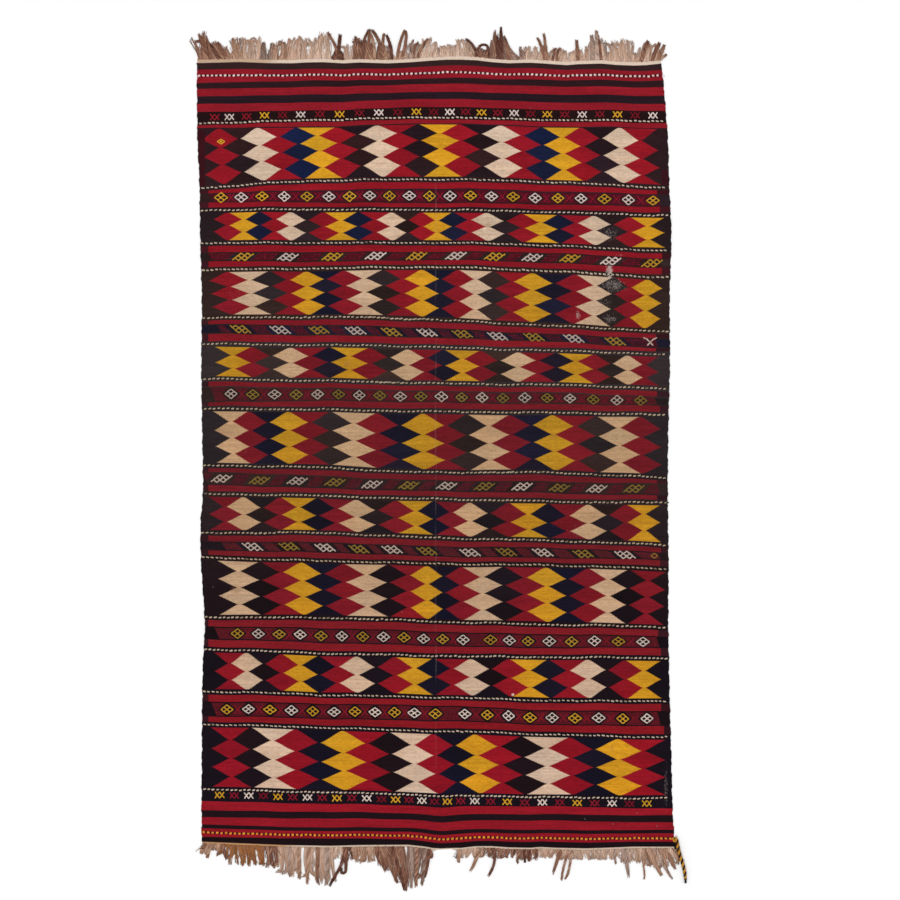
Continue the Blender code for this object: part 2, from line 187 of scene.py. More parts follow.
# The broad bands of lozenges. Every band runs through the same cycle of colours, some the other
# way round. "places" gives the photograph's column of some of its lozenge columns, and the others
# lie between. At the five stations, "lean" is how far the columns drift right from the band's top
# to its bottom, and "sag" how far its middle row lies below halfway.
CYCLE = ("red", "black", "cream", "red", "navy", "yellow")
ODD_LOZENGES = {(0, 10): "black"}
Band = namedtuple("Band", "rows first way half_first lean sag places")
BANDS = (
    Band(3, 0, 1, False, (5, 8.5, 4, 3, 4), (0, -1.8, -2.2, -0.5, 2.2),
         ((0, 221.5), (4, 300), (8, 380), (12, 461), (16, 543), (21, 641))),
    Band(2, 0, -1, False, (0, 0.5, 1, 2, 1), (-1.4, 0.2, 0, 0, 0),
         ((0, 228), (5, 307), (10, 392), (13, 437), (15, 470), (20, 559), (25, 648))),
    Band(3, 3, -1, False, (5, 2.6, 0, -1.6, -3), (0, 0, 0, 0, -0.8),
         ((0, 230), (2, 271), (5, 326), (10, 422), (15, 512), (19, 594.5), (22, 646))),
    Band(2, 5, 1, True, (1, 0.5, 0, 0.5, 1), (1.2, -0.3, 0.3, 0, 0.5),
         ((0, 233), (5, 329.5), (8, 389), (10, 425.5), (15, 518), (19, 594.5), (22, 644))),
    Band(3, 2, 1, True, (4.5, 0, 2, 3.5, 1.5), (1.5, 0.4, 1.8, 0.3, 1),
         ((0, 232), (2, 269), (3, 289), (5, 331), (7, 377), (10, 446), (15, 554), (19, 641))),
    Band(2, 3, -1, True, (1, 1, 1, 1, 1), (0.7, 1.3, 1, 2.2, -1),
         ((0, 225.6), (5, 317.6), (10, 416), (13, 470), (17, 548.5), (20, 608), (22, 644))),
    Band(3, 2, -1, True, (2, 2.5, 0.5, 1.5, -3), (-0.6, 0.2, -0.3, 0, -0.3),
         ((0, 239), (2, 282.4), (4, 323.4), (8, 409), (11, 462), (15, 547), (18, 608), (20, 647))),
    Band(2, 3, -1, True, (1, 1, 1, 3, 1), (0.3, 0.3, 0, 0, -0.3),
         ((0, 230), (2, 264), (5, 319), (10, 414.6), (15, 510), (19, 588.5), (22, 644))),
    Band(3, 0, 1, True, (2, 2, 6.5, 3.5, 0.5), (0.7, 1.5, 1, 0.5, 1.3),
         ((0, 231), (2, 273), (4, 320), (8, 414.4), (11, 477.5), (15, 571), (18, 643))),
)
# The half rows at a band's two ends are taller than the others, by this share.
END_HALF = 1.2
NECK = 1.5
EDGE_CURL = 0.2
STEP = 5.2

# The narrow bands of brocade between two red stripes: the rows where their ground starts and
# ends, the motif and its colours in turn, the columns where the upper and the lower red stripe
# stop short of the right selvedge, the columns between which the ground lies, and the columns of
# some of the motifs.
Border = namedtuple("Border", "top bottom motif yarns ground halo stops reach places")
BORDERS = (
    Border((193, 190, 188.5, 191, 194), (202.2, 202.4, 203, 204.5, 206.5), "lozenge",
           ("gold", "white"), "wine", "black", (657, 660), (211, 659),
           ((0, 221), (2, 262), (5, 329), (10, 429.6), (14, 513), (18, 604.4), (20, 653))),
    Border((252, 252, 251.5, 253, 258), (261, 262, 259.8, 263.3, 267.3), "rising",
           ("gold", "white"), "wine", "black", (662, 662), (210, 661),
           ((0, 243), (3, 375.7), (6, 494.6), (8, 570), (10, 652))),
    Border((324, 325, 328, 334, 338), (334, 335.5, 338, 342, 348), "falling",
           ("gold", "white"), "plum", "navy", (656, 656), (219, 657),
           ((0, 240.5), (2, 319), (5, 427), (8, 534), (10, 615))),
    Border((386.6, 387.6, 391, 392, 396.6), (402.6, 400.8, 403, 404, 406), "lozenge",
           ("white", "gold"), "umber", "bark", (657, 660), (213, 656),
           ((0, 231), (4, 317.6), (9, 421), (13, 503), (16, 570), (19, 640.6))),
    Border((472, 475.8, 480.4, 481.5, 483.5), (485, 488.5, 491.2, 493.3, 495.3), "rising",
           ("white", "gold"), "umber", "bark", (657, 657), (205, 659),
           ((0, 221.5), (3, 335), (5, 409), (8, 522), (11, 634))),
    Border((541, 542.5, 546, 548, 551.5), (550.2, 552.8, 556.4, 558.2, 559.6), "falling",
           ("white", "gold"), "umber", "black", (661, 660), (224, 659),
           ((0, 252.5), (2, 325), (5, 427), (6, 470), (8, 542.7), (10, 625))),
    Border((626.3, 627.8, 631.6, 634, 636), (639.6, 642.6, 646.2, 648, 648), "lozenge",
           ("gold", "white"), "wine", "black", (658, 661), (217, 658),
           ((0, 237.5), (4, 321), (8, 404), (11, 463), (12, 490.5), (14, 528), (17, 594.5), (19, 643))),
    Border((701.4, 703.4, 705.5, 710, 711), (716.4, 718.8, 721, 725, 726), "lozenge",
           ("gold", "white"), "wine", "black", (661, 664), (214, 659),
           ((0, 227), (3, 291.4), (6, 355), (10, 435.4), (11, 464.8), (14, 530), (16, 575), (19, 647))),
)

# The dark patches behind the motifs, in the photograph's pixels: half the width of a lozenge's
# patch at its top and at its middle, half that of a leaning one, and how far it leans. They keep
# HALO_CLEAR millimetres clear of the selvedges. The two ends of the ground lean too, and the red
# stripes are dull as far as LEFT_END_COLUMN.
HALO_TOP = 2.0
HALO_MIDDLE = 9.0
HALO_SIDE = 12.5
HALO_LEAN = 4.5
HALO_CLEAR = 5.0
LEFT_GROUND_LEAN = -5.0
RIGHT_GROUND_LEAN = -3.0
LEFT_END_COLUMN = 208.5

# Dull red ends of the first band, beyond its last lozenges: the rows and the columns between
# which they lie, or the selvedge.
Patch = namedtuple("Patch", "top bottom left right")
DULL_ENDS = (Patch(131, 186, None, 205), Patch(170, 185, 661.5, None))

# The two end bands of paired crosses on black. They lie some rows above or below their line.
CrossBand = namedtuple("CrossBand", "line side rows yarns places")
CROSS_BANDS = (
    CrossBand("twine 1", -1, 5.7, ("ruby", "white", "ruby", "gold"),
              ((0, 214.7), (1, 229.4), (2, 246.6), (3, 264.5), (4, 282.5), (5, 300.7), (11, 416.4),
               (15, 481.6), (19, 547.4), (25, 652.9))),
    CrossBand("twine 18", 1, 5.4, ("gold", "ruby", "white", "ruby"),
              ((0, 219.6), (4, 278), (8, 337), (12, 395.6), (16, 447.4), (18, 474.8), (20, 507.3),
               (22, 542.4), (28, 646.9))),
)

# ---- colours, as the photograph shows them at the head, in the faded middle and at the foot ----
# spread is how far one lozenge or stripe differs from the next of its dye.
# A dye fades most at fade_at, and fade_reach says how far up and down the rug that goes.
FADE_AT = 1480.0
FADE_REACH = 780.0
Dye = namedtuple("Dye", "head middle foot spread fade_at fade_reach", defaults=(FADE_AT, FADE_REACH))
DYES = {
    "red": Dye((146, 20, 33), (112, 24, 33), (144, 17, 32), 0.10),
    "stripe": Dye((138, 24, 36), (118, 28, 37), (141, 21, 34), 0.05),
    "border red": Dye((139, 20, 33), (108, 26, 34), (137, 21, 31), 0.08, 1600.0, 700.0),
    "dull red": Dye((60, 17, 26), (50, 24, 29), (54, 18, 26), 0.2),
    "black": Dye((37, 20, 25), (47, 36, 35), (23, 13, 20), 0.3, 1150.0, 560.0),
    "rubbed black": Dye((50, 31, 32), (50, 31, 32), (50, 31, 32), 0.1),
    "cream": Dye((212, 186, 163), (183, 148, 113), (206, 177, 155), 0.05),
    "yellow": Dye((212, 154, 34), (180, 130, 32), (210, 148, 31), 0.07),
    "navy": Dye((20, 28, 58), (27, 23, 38), (18, 15, 31), 0.24, 1150.0, 560.0),
    "wine": Dye((84, 17, 30), (76, 22, 30), (78, 18, 28), 0.15),
    "plum": Dye((70, 22, 42), (62, 25, 38), (66, 24, 34), 0.15),
    "umber": Dye((78, 26, 32), (72, 26, 31), (74, 24, 30), 0.15),
    "bark": Dye((42, 28, 28), (42, 30, 29), (36, 24, 26), 0.25),
}
Yarn = namedtuple("Yarn", "head middle foot fade_at fade_reach", defaults=(FADE_AT, FADE_REACH))
YARNS = {
    "white": Yarn((228, 208, 200), (178, 157, 144), (226, 206, 194)),
    "gold": Yarn((220, 164, 44), (124, 100, 46), (216, 160, 42)),
    "ruby": Yarn((150, 28, 44), (126, 30, 40), (146, 26, 46)),
    "madder": Yarn((148, 24, 48), (116, 26, 40), (140, 24, 40)),
    "ecru": Yarn((206, 188, 170), (176, 156, 130), (204, 184, 164)),
    "coal": Yarn((28, 20, 23), (38, 29, 28), (24, 17, 20)),
    "orange": Yarn((226, 148, 52), (226, 148, 52), (226, 148, 52)),
    "cord gold": Yarn((188, 134, 48), (188, 134, 48), (188, 134, 48)),
    "cord brown": Yarn((46, 28, 18), (46, 28, 18), (46, 28, 18)),
    "lint": Yarn((190, 176, 168), (150, 138, 130), (190, 176, 168)),
}
FADE_POWER = 2.6
ALBEDO = 0.86
# A stripe's or lozenge's seed makes it lighter or darker, and times HUE_SHUFFLE warmer or colder.
HUE_SHUFFLE = 40.0

# ---- the sheet's own points and its rounded rim, in millimetres ----
PATTERN_SEED = 5
ROW_STEP = 30.0
SELVEDGE_STEP = 7.0
SHEET_STEP = 42.0
SHEET_ROW_STEP = 36.0
FOLD_POINTS = (-32, -22, -14, -7, 0, 7, 14, 22, 32)
INSIDE_ONLY = 1
MERGE_WITHIN = 0.02
SLIVER = 1e-4
RIM_DROP = 0.45
RIM_LIFT = 0.35
RIM_BULGE = 1.0
# Where the face, the underside and the rim start on the map for baking, and their lengths there.
MAP_FACE = (0.004, 0.59)
MAP_UNDER = (0.602, 0.36)
MAP_RIM = (0.97, 0.025)
MAP_HEIGHT = (0.005, 0.99)
MAP_RIM_LENGTH = (0.005, 0.49)
MAP_RIM_RIGHT = 0.495

# ---- stitches, in millimetres ----
Stitch = namedtuple("Stitch", "across down length width height angle yarn shade")
Kind = namedtuple("Kind", "length width height yarn")
LIGHT_STRAND = Kind(13.8, 7.0, 3.0, "ecru")
LONE_STRAND = Kind(18.0, 7.0, 3.0, "ecru")
DARK_STRAND = Kind(7.2, 6.4, 2.6, "coal")
HEAD_BEAD = Kind(10.6, 9.4, 3.2, "white")
FOOT_BEAD = Kind(10.6, 9.4, 3.2, "orange")
BEAD_GAP = Kind(6.6, 10.5, 2.8, "coal")
WRAP_STITCH = Kind(13.0, 9.5, 5.5, "orange")
NUB = Kind(12.0, 11.0, 5.0, "white")
LINT_HAIR = Kind(1.3, 1.6, 1.3, "lint")
GROUND_STITCH = Kind(1.0, 4.6, 1.2, "madder")
STITCH_SEED = 23
STITCH_RINGS = 2
STITCH_BLUNTNESS = 0.8
STITCH_ON_RIB = 0.8
STITCH_LIFT = 0.25
SEED_STEP = 0.618
TWINE_PITCH = 4.4 * PIXEL
TWINE_LEAN = 0.2
TWINE_WORN_SHARE = 0.06

# Where a twined line shows its pale strand alone: the line, and the photograph's columns.
Run = namedtuple("Run", "line start end")
PALE_RUNS = (Run("twine 6", 362, 430), Run("twine 8", 372, 404), Run("twine 10", 476, 516))

# The stitches that hold the tail to the corner: how far right of the last bead and below it they
# are, how they lie, and their yarn.
Wrap = namedtuple("Wrap", "across down angle yarn")
WRAPS = (Wrap(0, 0, 0.5, "orange"), Wrap(4, 3, -0.6, "orange"), Wrap(2, 8, -1.2, "orange"),
         Wrap(6, 10, -0.9, "orange"), Wrap(5, 18, -1.2, "coal"), Wrap(7, 26, -1.2, "coal"),
         Wrap(8, 34, -1.25, "coal"))

# Bits of white lint caught in the cloth: the photograph's column and row, and their length. One
# pale nub of wool lies among them.
Lint = namedtuple("Lint", "column row length")
LINTS = (Lint(204, 789, 9), Lint(213, 587, 7), Lint(664, 76, 9), Lint(585, 819, 7),
         Lint(613, 824, 5), Lint(657, 826, 6), Lint(637, 813, 5), Lint(298, 352, 5), Lint(402, 612, 5),
         Lint(530, 108, 5), Lint(468, 730, 5), Lint(246, 452, 5), Lint(560, 640, 5))
NUB_COLUMN = 512.8
NUB_ROW = 694.6

# ---- brocade: the steps of the leaning net, in pixels, and its stitches, in millimetres ----
OddMotif = namedtuple("OddMotif", "bars column row yarn shade width size")
CELL_ALONG = (3.4, -2.7)
CELL_ASIDE = (3.6, 2.7)
BAR_WIDTH = 5.6
BAR_HEIGHT = 1.9
BAR_STITCH_PITCH = 7.0
BAR_OVERLAP = 1.5
LEANING_WIDTH = 6.6
LEANING_SIZE = 0.92
CROSS_WIDTH = 6.0
# Two lozenges nearer to each other than CROSS_GAP, in pixels, have a small cross between them.
CROSS_GAP = 27.0
# The stitches of the ground, in pixels: their pitch, and how far they keep from a motif's middle.
GROUND_PITCH = 2.7
GROUND_ROW_PITCH = 2.2
LOZENGE_CLEAR = 7.0
LEANING_CLEAR = 11.5

# ---- the fringe ----
# The tufts of warp ends, in the photograph's pixels: the columns between which their roots lie,
# the row that their tips reach, their yarn, how much lower that row is at the right end than at
# the left, how much of the reach is lost towards the ends, how far the tips lie right of the
# roots, and how far they draw together.
Clump = namedtuple("Clump", "start end row yarn slope point lean gather", defaults=(0, 0, 0, 0))
HEAD_CLUMPS = rows_of(Clump,
    (199, 212, 34, "brown", -4, 0, -4, 0.1), (211, 222, 41, "brown", 2, 0, -9),
    (220, 232, 44, "tan", 6, 0, -8), (221, 234, 50, "tan", 2, 0, -2),
    (233, 244, 37, "tan", 0, 0.1, -1.5), (243, 260, 35, "beige", 0, 0.05),
    (259, 272, 41, "ash", 0, 0.15, 0, 0.05), (271, 287, 39, "tan", 0, 0.15, 2),
    (287, 313, 36, "beige", -1, 0.05, 1), (313, 331, 32, "pale", -1, 0.05),
    (331, 345, 50, "dark", 0, 0.3, 0, 0.3), (345, 353, 43, "beige", 0, 0.1, 1),
    (353, 364, 37, "brown", 0, 0.1, 0, 0.1), (364, 382, 41, "brown", 6), (382, 392, 44, "tan", 0, 0.1),
    (392, 406, 50, "beige", 0, 0.1, 2), (406, 420, 42, "grey", 0, 0.1, 2),
    (420, 433, 38, "pale", 2, 0.1, 3), (433, 441, 47, "pale", 4, 0.1),
    (440, 457, 44.5, "pale", -2, 0.05, -1), (457, 467, 38, "pale", 0, 0.05),
    (466, 477, 43, "beige", 10, 0, -2), (475, 490, 48, "brown", 0, 0.1, 1),
    (489, 520, 37, "smoke", 0, 0.1, -6, 0.72), (519, 526, 48, "smoke", 0, 0.2, 1),
    (524, 542, 46, "pale", 0, 0.15, 1, 0.1), (540, 549, 44, "tan", 0, 0.3, 0, 0.3),
    (549, 562, 47, "beige", 1, 0.1, 2), (560, 574, 50.5, "pale", 0, 0.1),
    (573, 582, 44, "beige", 0, 0.5, 1, 0.4), (582, 588, 50, "beige", 0, 0.1),
    (585, 607, 38, "grey", 0, 0.1, 0, 0.45), (605, 611, 52, "beige"),
    (609, 633, 39, "beige", 1, 0, 0, 0.12), (632, 637, 52, "beige"),
    (636, 650, 43, "beige", -3, 0.1, 5), (648, 661, 43, "tan", 4, 0.05, 5))
FOOT_CLUMPS = rows_of(Clump,
    (203, 212, 856, "tan", 2, 0.3, -4, 0.2), (212, 222, 852, "tan", 0, 0.1, -1),
    (222, 232, 858, "rust", 7, 0, 1), (232, 262, 866, "rust", 1, 0.05, 1),
    (262, 277, 868, "brown", 0, 0.1, 1), (277, 301, 877, "beige", 7, 0.05, 0, 0.08),
    (305, 333, 884, "beige", 1, 0.05, 1, 0.08), (333, 344, 860, "beige", 3, 0.1),
    (344, 352, 862, "dark", 0, 0.1), (352, 374, 864, "tan", -1, 0.1),
    (374, 404, 878, "brown", 25, 0, 8), (408, 430, 885, "smoke", -5, 0.1, -2, 0.1),
    (457, 463, 860, "grey", 0, 0.1, -1, 0.4), (463, 484, 858, "beige", 0, 0.1, -2),
    (484, 518, 859, "brown", 0, 0.1), (518, 538, 861, "brown", 0, 0.1),
    (538, 553, 858, "beige", 0, 0.1), (553, 566, 860, "tan", 0, 0.1, -1),
    (566, 620, 860, "beige", 0, 0.05), (620, 632, 864, "grey", 0, 0.2, 1, 0.1),
    (631, 643, 864, "beige", 2, 0.1, 1), (642, 660, 870, "tan", 6, 0.05, 5),
    (660, 675, 867, "tan", -8, 0.05, 6))

# Single twisted locks that stand out of the mass, in the photograph's pixels: the column of the
# root and the tip, the tip's row, the lock's width and its yarn. It bows right by "bow" and its
# tip curls round by "curl" degrees.
Lock = namedtuple("Lock", "root tip_column tip_row width yarn bow curl", defaults=(0, 0))
HEAD_LOCKS = rows_of(Lock,
    (206, 198.5, 33, 4.5, "brown"), (220, 208, 42, 4.5, "dark"), (226, 217, 42, 4, "brown"),
    (237, 232.5, 37.5, 3.2, "tan"), (264, 263, 42, 3.5, "ash", 0, 25),
    (336, 326, 32, 3, "brown", 3.5, 15), (338, 340.3, 33.5, 4.2, "dark"), (333, 337, 50, 4, "dark"),
    (342, 338, 50, 4, "dark"), (355, 355.5, 35.5, 4.4, "brown"), (360, 358, 38, 3.4, "brown", 1),
    (368, 369.7, 28, 4.4, "brown"), (363, 369, 29, 3, "brown", -2.5),
    (381, 371.5, 29, 3.8, "brown", 3.2), (374, 370.5, 33, 3, "tan", 1.5),
    (383, 384, 32.6, 3.2, "brown", -0.8), (391.5, 386, 34, 3.4, "dark", 1.6),
    (397.5, 405, 29.5, 3.4, "brown", -1.2), (402, 407, 29.5, 3.4, "brown", 1, -20),
    (409, 412, 39, 2.6, "smoke", 1, 30), (414, 417, 41, 2.4, "brown", -1, 60),
    (417, 428, 38, 3.4, "brown", 0, 15), (476.5, 465.5, 37.5, 2.6, "dark", 2.4, -20),
    (478, 483, 42, 2.6, "dark", -2, 60), (488, 485, 42, 2.6, "dark", 2, -60),
    (493, 495, 29.5, 4.6, "brown"), (501, 501, 26, 5.4, "dark"), (498, 497, 33, 5, "dark"),
    (509, 503.5, 35, 4.6, "brown", 1), (521, 520, 46, 2.6, "smoke", 0, 20),
    (545, 543.5, 32.5, 3, "brown", 1), (544.5, 538, 36.5, 2.8, "brown", 0, -20),
    (552, 554, 47, 2.6, "brown", 1, 100), (557, 560, 47, 2.6, "brown", -1, 80),
    (578, 576.5, 39, 3.6, "brown"), (586, 586, 46, 1.8, "tan"), (593, 592, 34, 4.2, "grey", 0, -10),
    (598, 596, 29.5, 4.2, "grey", 0, 8), (601, 597.5, 34, 3.6, "brown"),
    (641, 648, 40, 4.2, "brown", 0, 10), (652, 660, 42, 3.8, "brown"), (657, 665, 44, 3.4, "tan"),
    (660, 667, 54, 3, "tan"))
FOOT_LOCKS = rows_of(Lock,
    (206, 200.5, 850, 3.4, "brown"), (210, 207, 858.5, 3.6, "tan"), (222, 227, 860, 3.4, "brown"),
    (270, 273, 869, 3.4, "brown", 0, 40), (289, 288, 877, 3.6, "grey", 1, 30),
    (298, 299, 880, 4, "tan", 1), (309, 307, 885, 4.4, "tan"), (318, 317, 886, 4.4, "brown", 0, 20),
    (327, 326, 886, 4.2, "grey", 1), (345, 328, 886, 3.6, "dark", 3, 10),
    (347, 345, 882, 3.4, "dark", 0, -240), (345, 346, 871, 4.4, "dark"), (376, 386, 872, 3.4, "brown"),
    (384, 398, 884, 4.2, "brown"), (392, 405, 891, 4.2, "dark", 1), (399, 406, 891.5, 4, "brown", 1),
    (411, 411, 889, 3.6, "grey", 1), (417, 416, 888, 3.6, "brown"), (424, 421.5, 886, 3.6, "smoke", 1),
    (429, 424, 879, 3.2, "dark", 1), (429, 431, 860, 2.4, "brown", 2, -150),
    (460, 458, 863, 3.4, "tan", 0, 20), (480, 470.5, 872.5, 4.8, "tan", 0, -15),
    (493, 488, 877, 3, "dark", 3.5), (518, 517, 864, 2.4, "brown", 0, 30),
    (524, 525, 863, 2.6, "dark"), (529, 529, 862, 4.8, "dark"), (560, 552.5, 875, 4.4, "brown"),
    (569, 561.5, 881, 2.6, "tan", -1.5), (571, 566, 881, 2.6, "tan", 1, -20),
    (614, 616, 864.5, 2.2, "grey"), (625, 629, 878.5, 5.2, "grey"), (643, 646, 880, 2, "tan", -1, -20),
    (648, 662, 876, 4.2, "tan"), (655, 673, 880, 4.4, "grey"), (664, 676, 870, 4.4, "tan"),
    (669, 680, 861, 4, "beige"))

WARPS = {
    "pale": (216, 186, 166),
    "beige": (200, 168, 148),
    "tan": (182, 144, 120),
    "rust": (156, 104, 64),
    "ash": (146, 122, 110),
    "grey": (188, 162, 148),
    "brown": (144, 102, 84),
    "dark": (100, 64, 54),
    "smoke": (138, 110, 98),
    "web": (224, 203, 184),
    "web foot": (208, 186, 166),
    "web tan": (198, 168, 142),
    "web orange": (186, 140, 98),
}
# The yarns that a strand may have instead of its tuft's own.
NEIGHBOURS = {
    "pale": ("beige", "grey"), "beige": ("tan", "pale"), "tan": ("brown", "beige"),
    "rust": ("rust", "brown"), "ash": ("grey", "smoke"), "grey": ("beige", "smoke"),
    "brown": ("tan", "dark"), "dark": ("brown", "brown"), "smoke": ("grey", "brown"),
}
TUFT_PITCH = 9.0
TUFT_STRANDS = 9
TUFT_OVERLAP = 1.5
CURLY_TUFTS = 0.22
STRAY_PITCH = 4.0
CURLY_STRAYS = 0.3
STRAND_POINTS = 9
STRAND_SIDES = 4
STRAND_RADIUS = 1.3
TIP_THINNING = 0.3
ROOT_SHADE = 1.12
TIP_SHADE_LOSS = 0.4
TIP_BROWNING = (0.0, 0.1, 0.16)
ROUTE_POINTS = 20
LEAST_REACH = 6.0
MOST_HEAP = 5.0
MOST_TWIST_HEAP = 2.4
LOCK_POINTS = 16
STRANDS_PER_WIDTH = 1.5
LEAST_STRANDS = 6

# A lock at least WIDE_LOCK pixels wide is wound loosely: how much it narrows towards its tip, the
# length of one turn in millimetres, and the share of its length that its shortest strand has.
Winding = namedtuple("Winding", "narrowing turn shortest")
WIDE_LOCK = 4.4
LOOSE = Winding(0.6, 95.0, 0.76)
TIGHT = Winding(0.3, 46.0, 0.9)

# The web: its section, from the cloth's edge outwards, as shares of its width and heights, and
# the yarns of its stretches, in millimetres across. The strands leave it at "roots" millimetres
# from the cloth, or at MOST_ROOTS of its width where it is narrow.
WEB_SECTION = ((PARTING / WEB_WIDTH, WEB_THICKNESS), (0.3, WEB_THICKNESS), (0.65, 0.9 * WEB_THICKNESS),
               (1.0, 0.5 * WEB_THICKNESS))
WEB_UNDERSIDE = 0.15
WEB_STEP = 5.0
WEB_SEED = 31
WEB_RAGS = 260
WEB_OVERLAP = 3.5
MOST_ROOTS = 0.8
WebDye = namedtuple("WebDye", "start end yarn")
HEAD_WEB = (WebDye(-870, -620, "web tan"), WebDye(-560, 880, "web"))
FOOT_WEB = (WebDye(-870, -560, "web orange"), WebDye(-500, 880, "web foot"))
End = namedtuple("End", "name side clumps locks web roots worn seed")
HEAD = End("head", 1, HEAD_CLUMPS, HEAD_LOCKS, HEAD_WEB, 13.5, False, 3)
FOOT = End("foot", -1, FOOT_CLUMPS, FOOT_LOCKS, FOOT_WEB, 6.5, True, 4)

# ---- the corner tail ----
TAIL_RADIUS = 7.0
TAIL_START_DOWN = 2850.0
TAIL_STAND_OFF = -3.2
TAIL_TURN = 24.0
TAIL_TAPERS_AT = 0.8
TAIL_TIP_SHARE = 0.6
TAIL_DARKENS_AT = 0.88
TAIL_DARKENS_OVER = 0.04
TAIL_POINTS = 150
TAIL_SIDES = 10
# Each ply's yarn, and its share of the tail's radius.
PLIES = (("cord gold", 0.62), ("cord brown", 0.5))
TAIL_ROUTE = ((0, 0), (2.4, 4), (4.6, 9), (6.6, 16), (8.6, 26), (10.8, 37), (13.4, 49), (16.8, 61),
              (20.6, 74), (24.6, 87), (28.4, 100), (31.8, 113), (34.4, 126), (36.2, 139), (37.4, 152),
              (38.0, 166))

# ---- wool. A tone is an uneven shade: whether each seed has its own, the noise's scale, stretch,
# detail and roughness, the noise values between which it changes, and its darkest and lightest. ----
Tone = namedtuple("Tone", "own scale stretch detail roughness between shades")
MOTTLE_SCALE = 190
FIBRE_STRETCH = (1500, 600, 0)
CLOTH_TONES = (
    Tone(True, 1.0, (6, 170, 0), 3, 0.55, (0.28, 0.72), (0.84, 1.15)),
    Tone(True, 1.0, (48, 240, 0), 2, 0.6, (0.28, 0.72), (0.86, 1.15)),
    Tone(True, 1.0, (5, 26, 0), 2, 0.5, (0.3, 0.7), (0.9, 1.1)),
    Tone(False, MOTTLE_SCALE, (1, 1, 1), 3, 0.65, (0.3, 0.7), (0.85, 1.16)),
    Tone(False, 1.0, FIBRE_STRETCH, 2, 0.6, (0.25, 0.75), (0.9, 1.1)),
)
YARN_TONES = (
    Tone(True, 300, (1, 1, 1), 3, 0.6, (0.25, 0.75), (0.78, 1.2)),
    Tone(False, 1100, (1, 1, 1), 2, 0.6, (0.25, 0.75), (0.86, 1.12)),
)
# Where the cloth is rubbed thin and its pale warps show in specks: the photograph's column and
# row, half the width and height there, how much shows, and how pale it is.
Wear = namedtuple("Wear", "column row half_width half_height amount cover")
WORN_SPOTS = rows_of(Wear,
    (609.5, 271.5, 5.6, 12, 0.8, 0.85), (578, 315, 3.6, 7, 0.7, 0.7), (613, 285, 19, 11, 0.6, 0.5),
    (604, 303, 13, 9, 0.46, 0.6), (610, 319, 13, 7, 0.5, 0.6), (610, 234, 16, 12, 0.42, 0.6),
    (582, 531, 22, 13, 0.34, 0.75), (666, 788, 3.5, 32, 0.6, 0.2), (238, 296, 22, 12, 0.26, 0.75),
    (621, 255, 7, 1.5, 0.5, 0.75))
Stain = namedtuple("Stain", "column row radius")
STAINS = (Stain(347, 364, 5), Stain(554, 437, 4), Stain(612, 748, 4),
          Stain(488, 226, 5), Stain(236, 590, 7))
PALE_WARP = (0.50, 0.43, 0.39, 1.0)
LINT_GREY = (0.34, 0.30, 0.28, 1.0)
STAIN_BROWN = (0.20, 0.10, 0.05, 1.0)
CREASE_GREY = (0.34, 0.28, 0.27, 1.0)
TAN_TINT = (1.0, 0.9, 0.78, 1.0)
WARP_PITCH = 0.0024
WEFT_PITCH = 0.0011
YARN_TWIST = 0.0016
CREASE_COLUMN = 435.8
CREASE_HALF_WIDTH = 0.0034
CREASE_WANDER = 0.012
WOOL_SPECULAR = 0.05
WOOL_SHEEN = 0.01
SHEEN_ROUGHNESS = 0.6

# ---- stage ----
FLOOR_SIZE = 60
FLOOR_DROP = 0.0004
FLOOR_GREYS = ((0.86, 0.86, 0.86, 1), (0.875, 0.875, 0.875, 1))
ROOM_LIGHT = 0.80
# Each lamp's name, turn in degrees, strength, and the width of its light in degrees.
LAMPS = (("key", (34, -14, 0), 1.0, 26), ("fill", (-28, 22, 0), 0.45, 50))
CAMERA_HEIGHT = 9.0
SENSOR = 36.0


# ---- colour ----
def linear(rgb):
    """Scene-linear numbers of a colour given in sRGB bytes."""
    c = np.asarray(rgb, float) / 255
    return np.where(c <= 0.04045, c / 12.92, ((c + 0.055) / 1.055) ** 2.4)


def faded(dye, down):
    """A dye's scene-linear base colour at places down the rug."""
    off = (np.asarray(down, float)[..., None] - dye.fade_at) / dye.fade_reach
    fade = np.exp(-np.abs(off) ** FADE_POWER)
    fresh = np.where(off < 0, linear(dye.head), linear(dye.foot))
    return (fresh * (1 - fade) + linear(dye.middle) * fade) * ALBEDO


# ---- where things lie ----
field_low, field_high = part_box("kilim_field")
SHIFT_ACROSS = field_low[0] / MM - EDGES[0].left
SHIFT_UP = field_high[1] / MM - (WOVEN_LENGTH / 2 - min(LINES["head edge"]))


def smooth_between(places, values, at):
    """A smooth curve through the given values, which runs on straight past its ends."""
    places = np.asarray(places, float)
    values = np.asarray(values, float)
    at = np.asarray(at, float)
    last = len(places) - 1
    before = np.maximum(np.arange(last + 1) - 1, 0)
    after = np.minimum(np.arange(last + 1) + 1, last)
    slopes = (values[after] - values[before]) / (places[after] - places[before])
    k = np.clip(np.searchsorted(places, at, side="right") - 1, 0, last - 1)
    span = places[k + 1] - places[k]
    t = (at - places[k]) / span
    inside = ((1 + 2 * t) * (1 - t) ** 2 * values[k] + t * (1 - t) ** 2 * span * slopes[k]
              + t * t * (3 - 2 * t) * values[k + 1] + t * t * (t - 1) * span * slopes[k + 1])
    start = values[0] + slopes[0] * (at - places[0])
    end = values[last] + slopes[last] * (at - places[last])
    return np.where(at < places[0], start, np.where(at > places[last], end, inside))


def across_of(column):
    return (column - ZERO_COLUMN) * PIXEL


def down_of_row(row):
    return (row - ZERO_ROW) * PIXEL


def downs_of(rows, shift=0.0):
    """A row of the photograph, in millimetres down at the five stations."""
    return tuple((row + shift - ZERO_ROW) * PIXEL for row in rows)


def moved(downs, pixels):
    return tuple(down + pixels * PIXEL for down in downs)


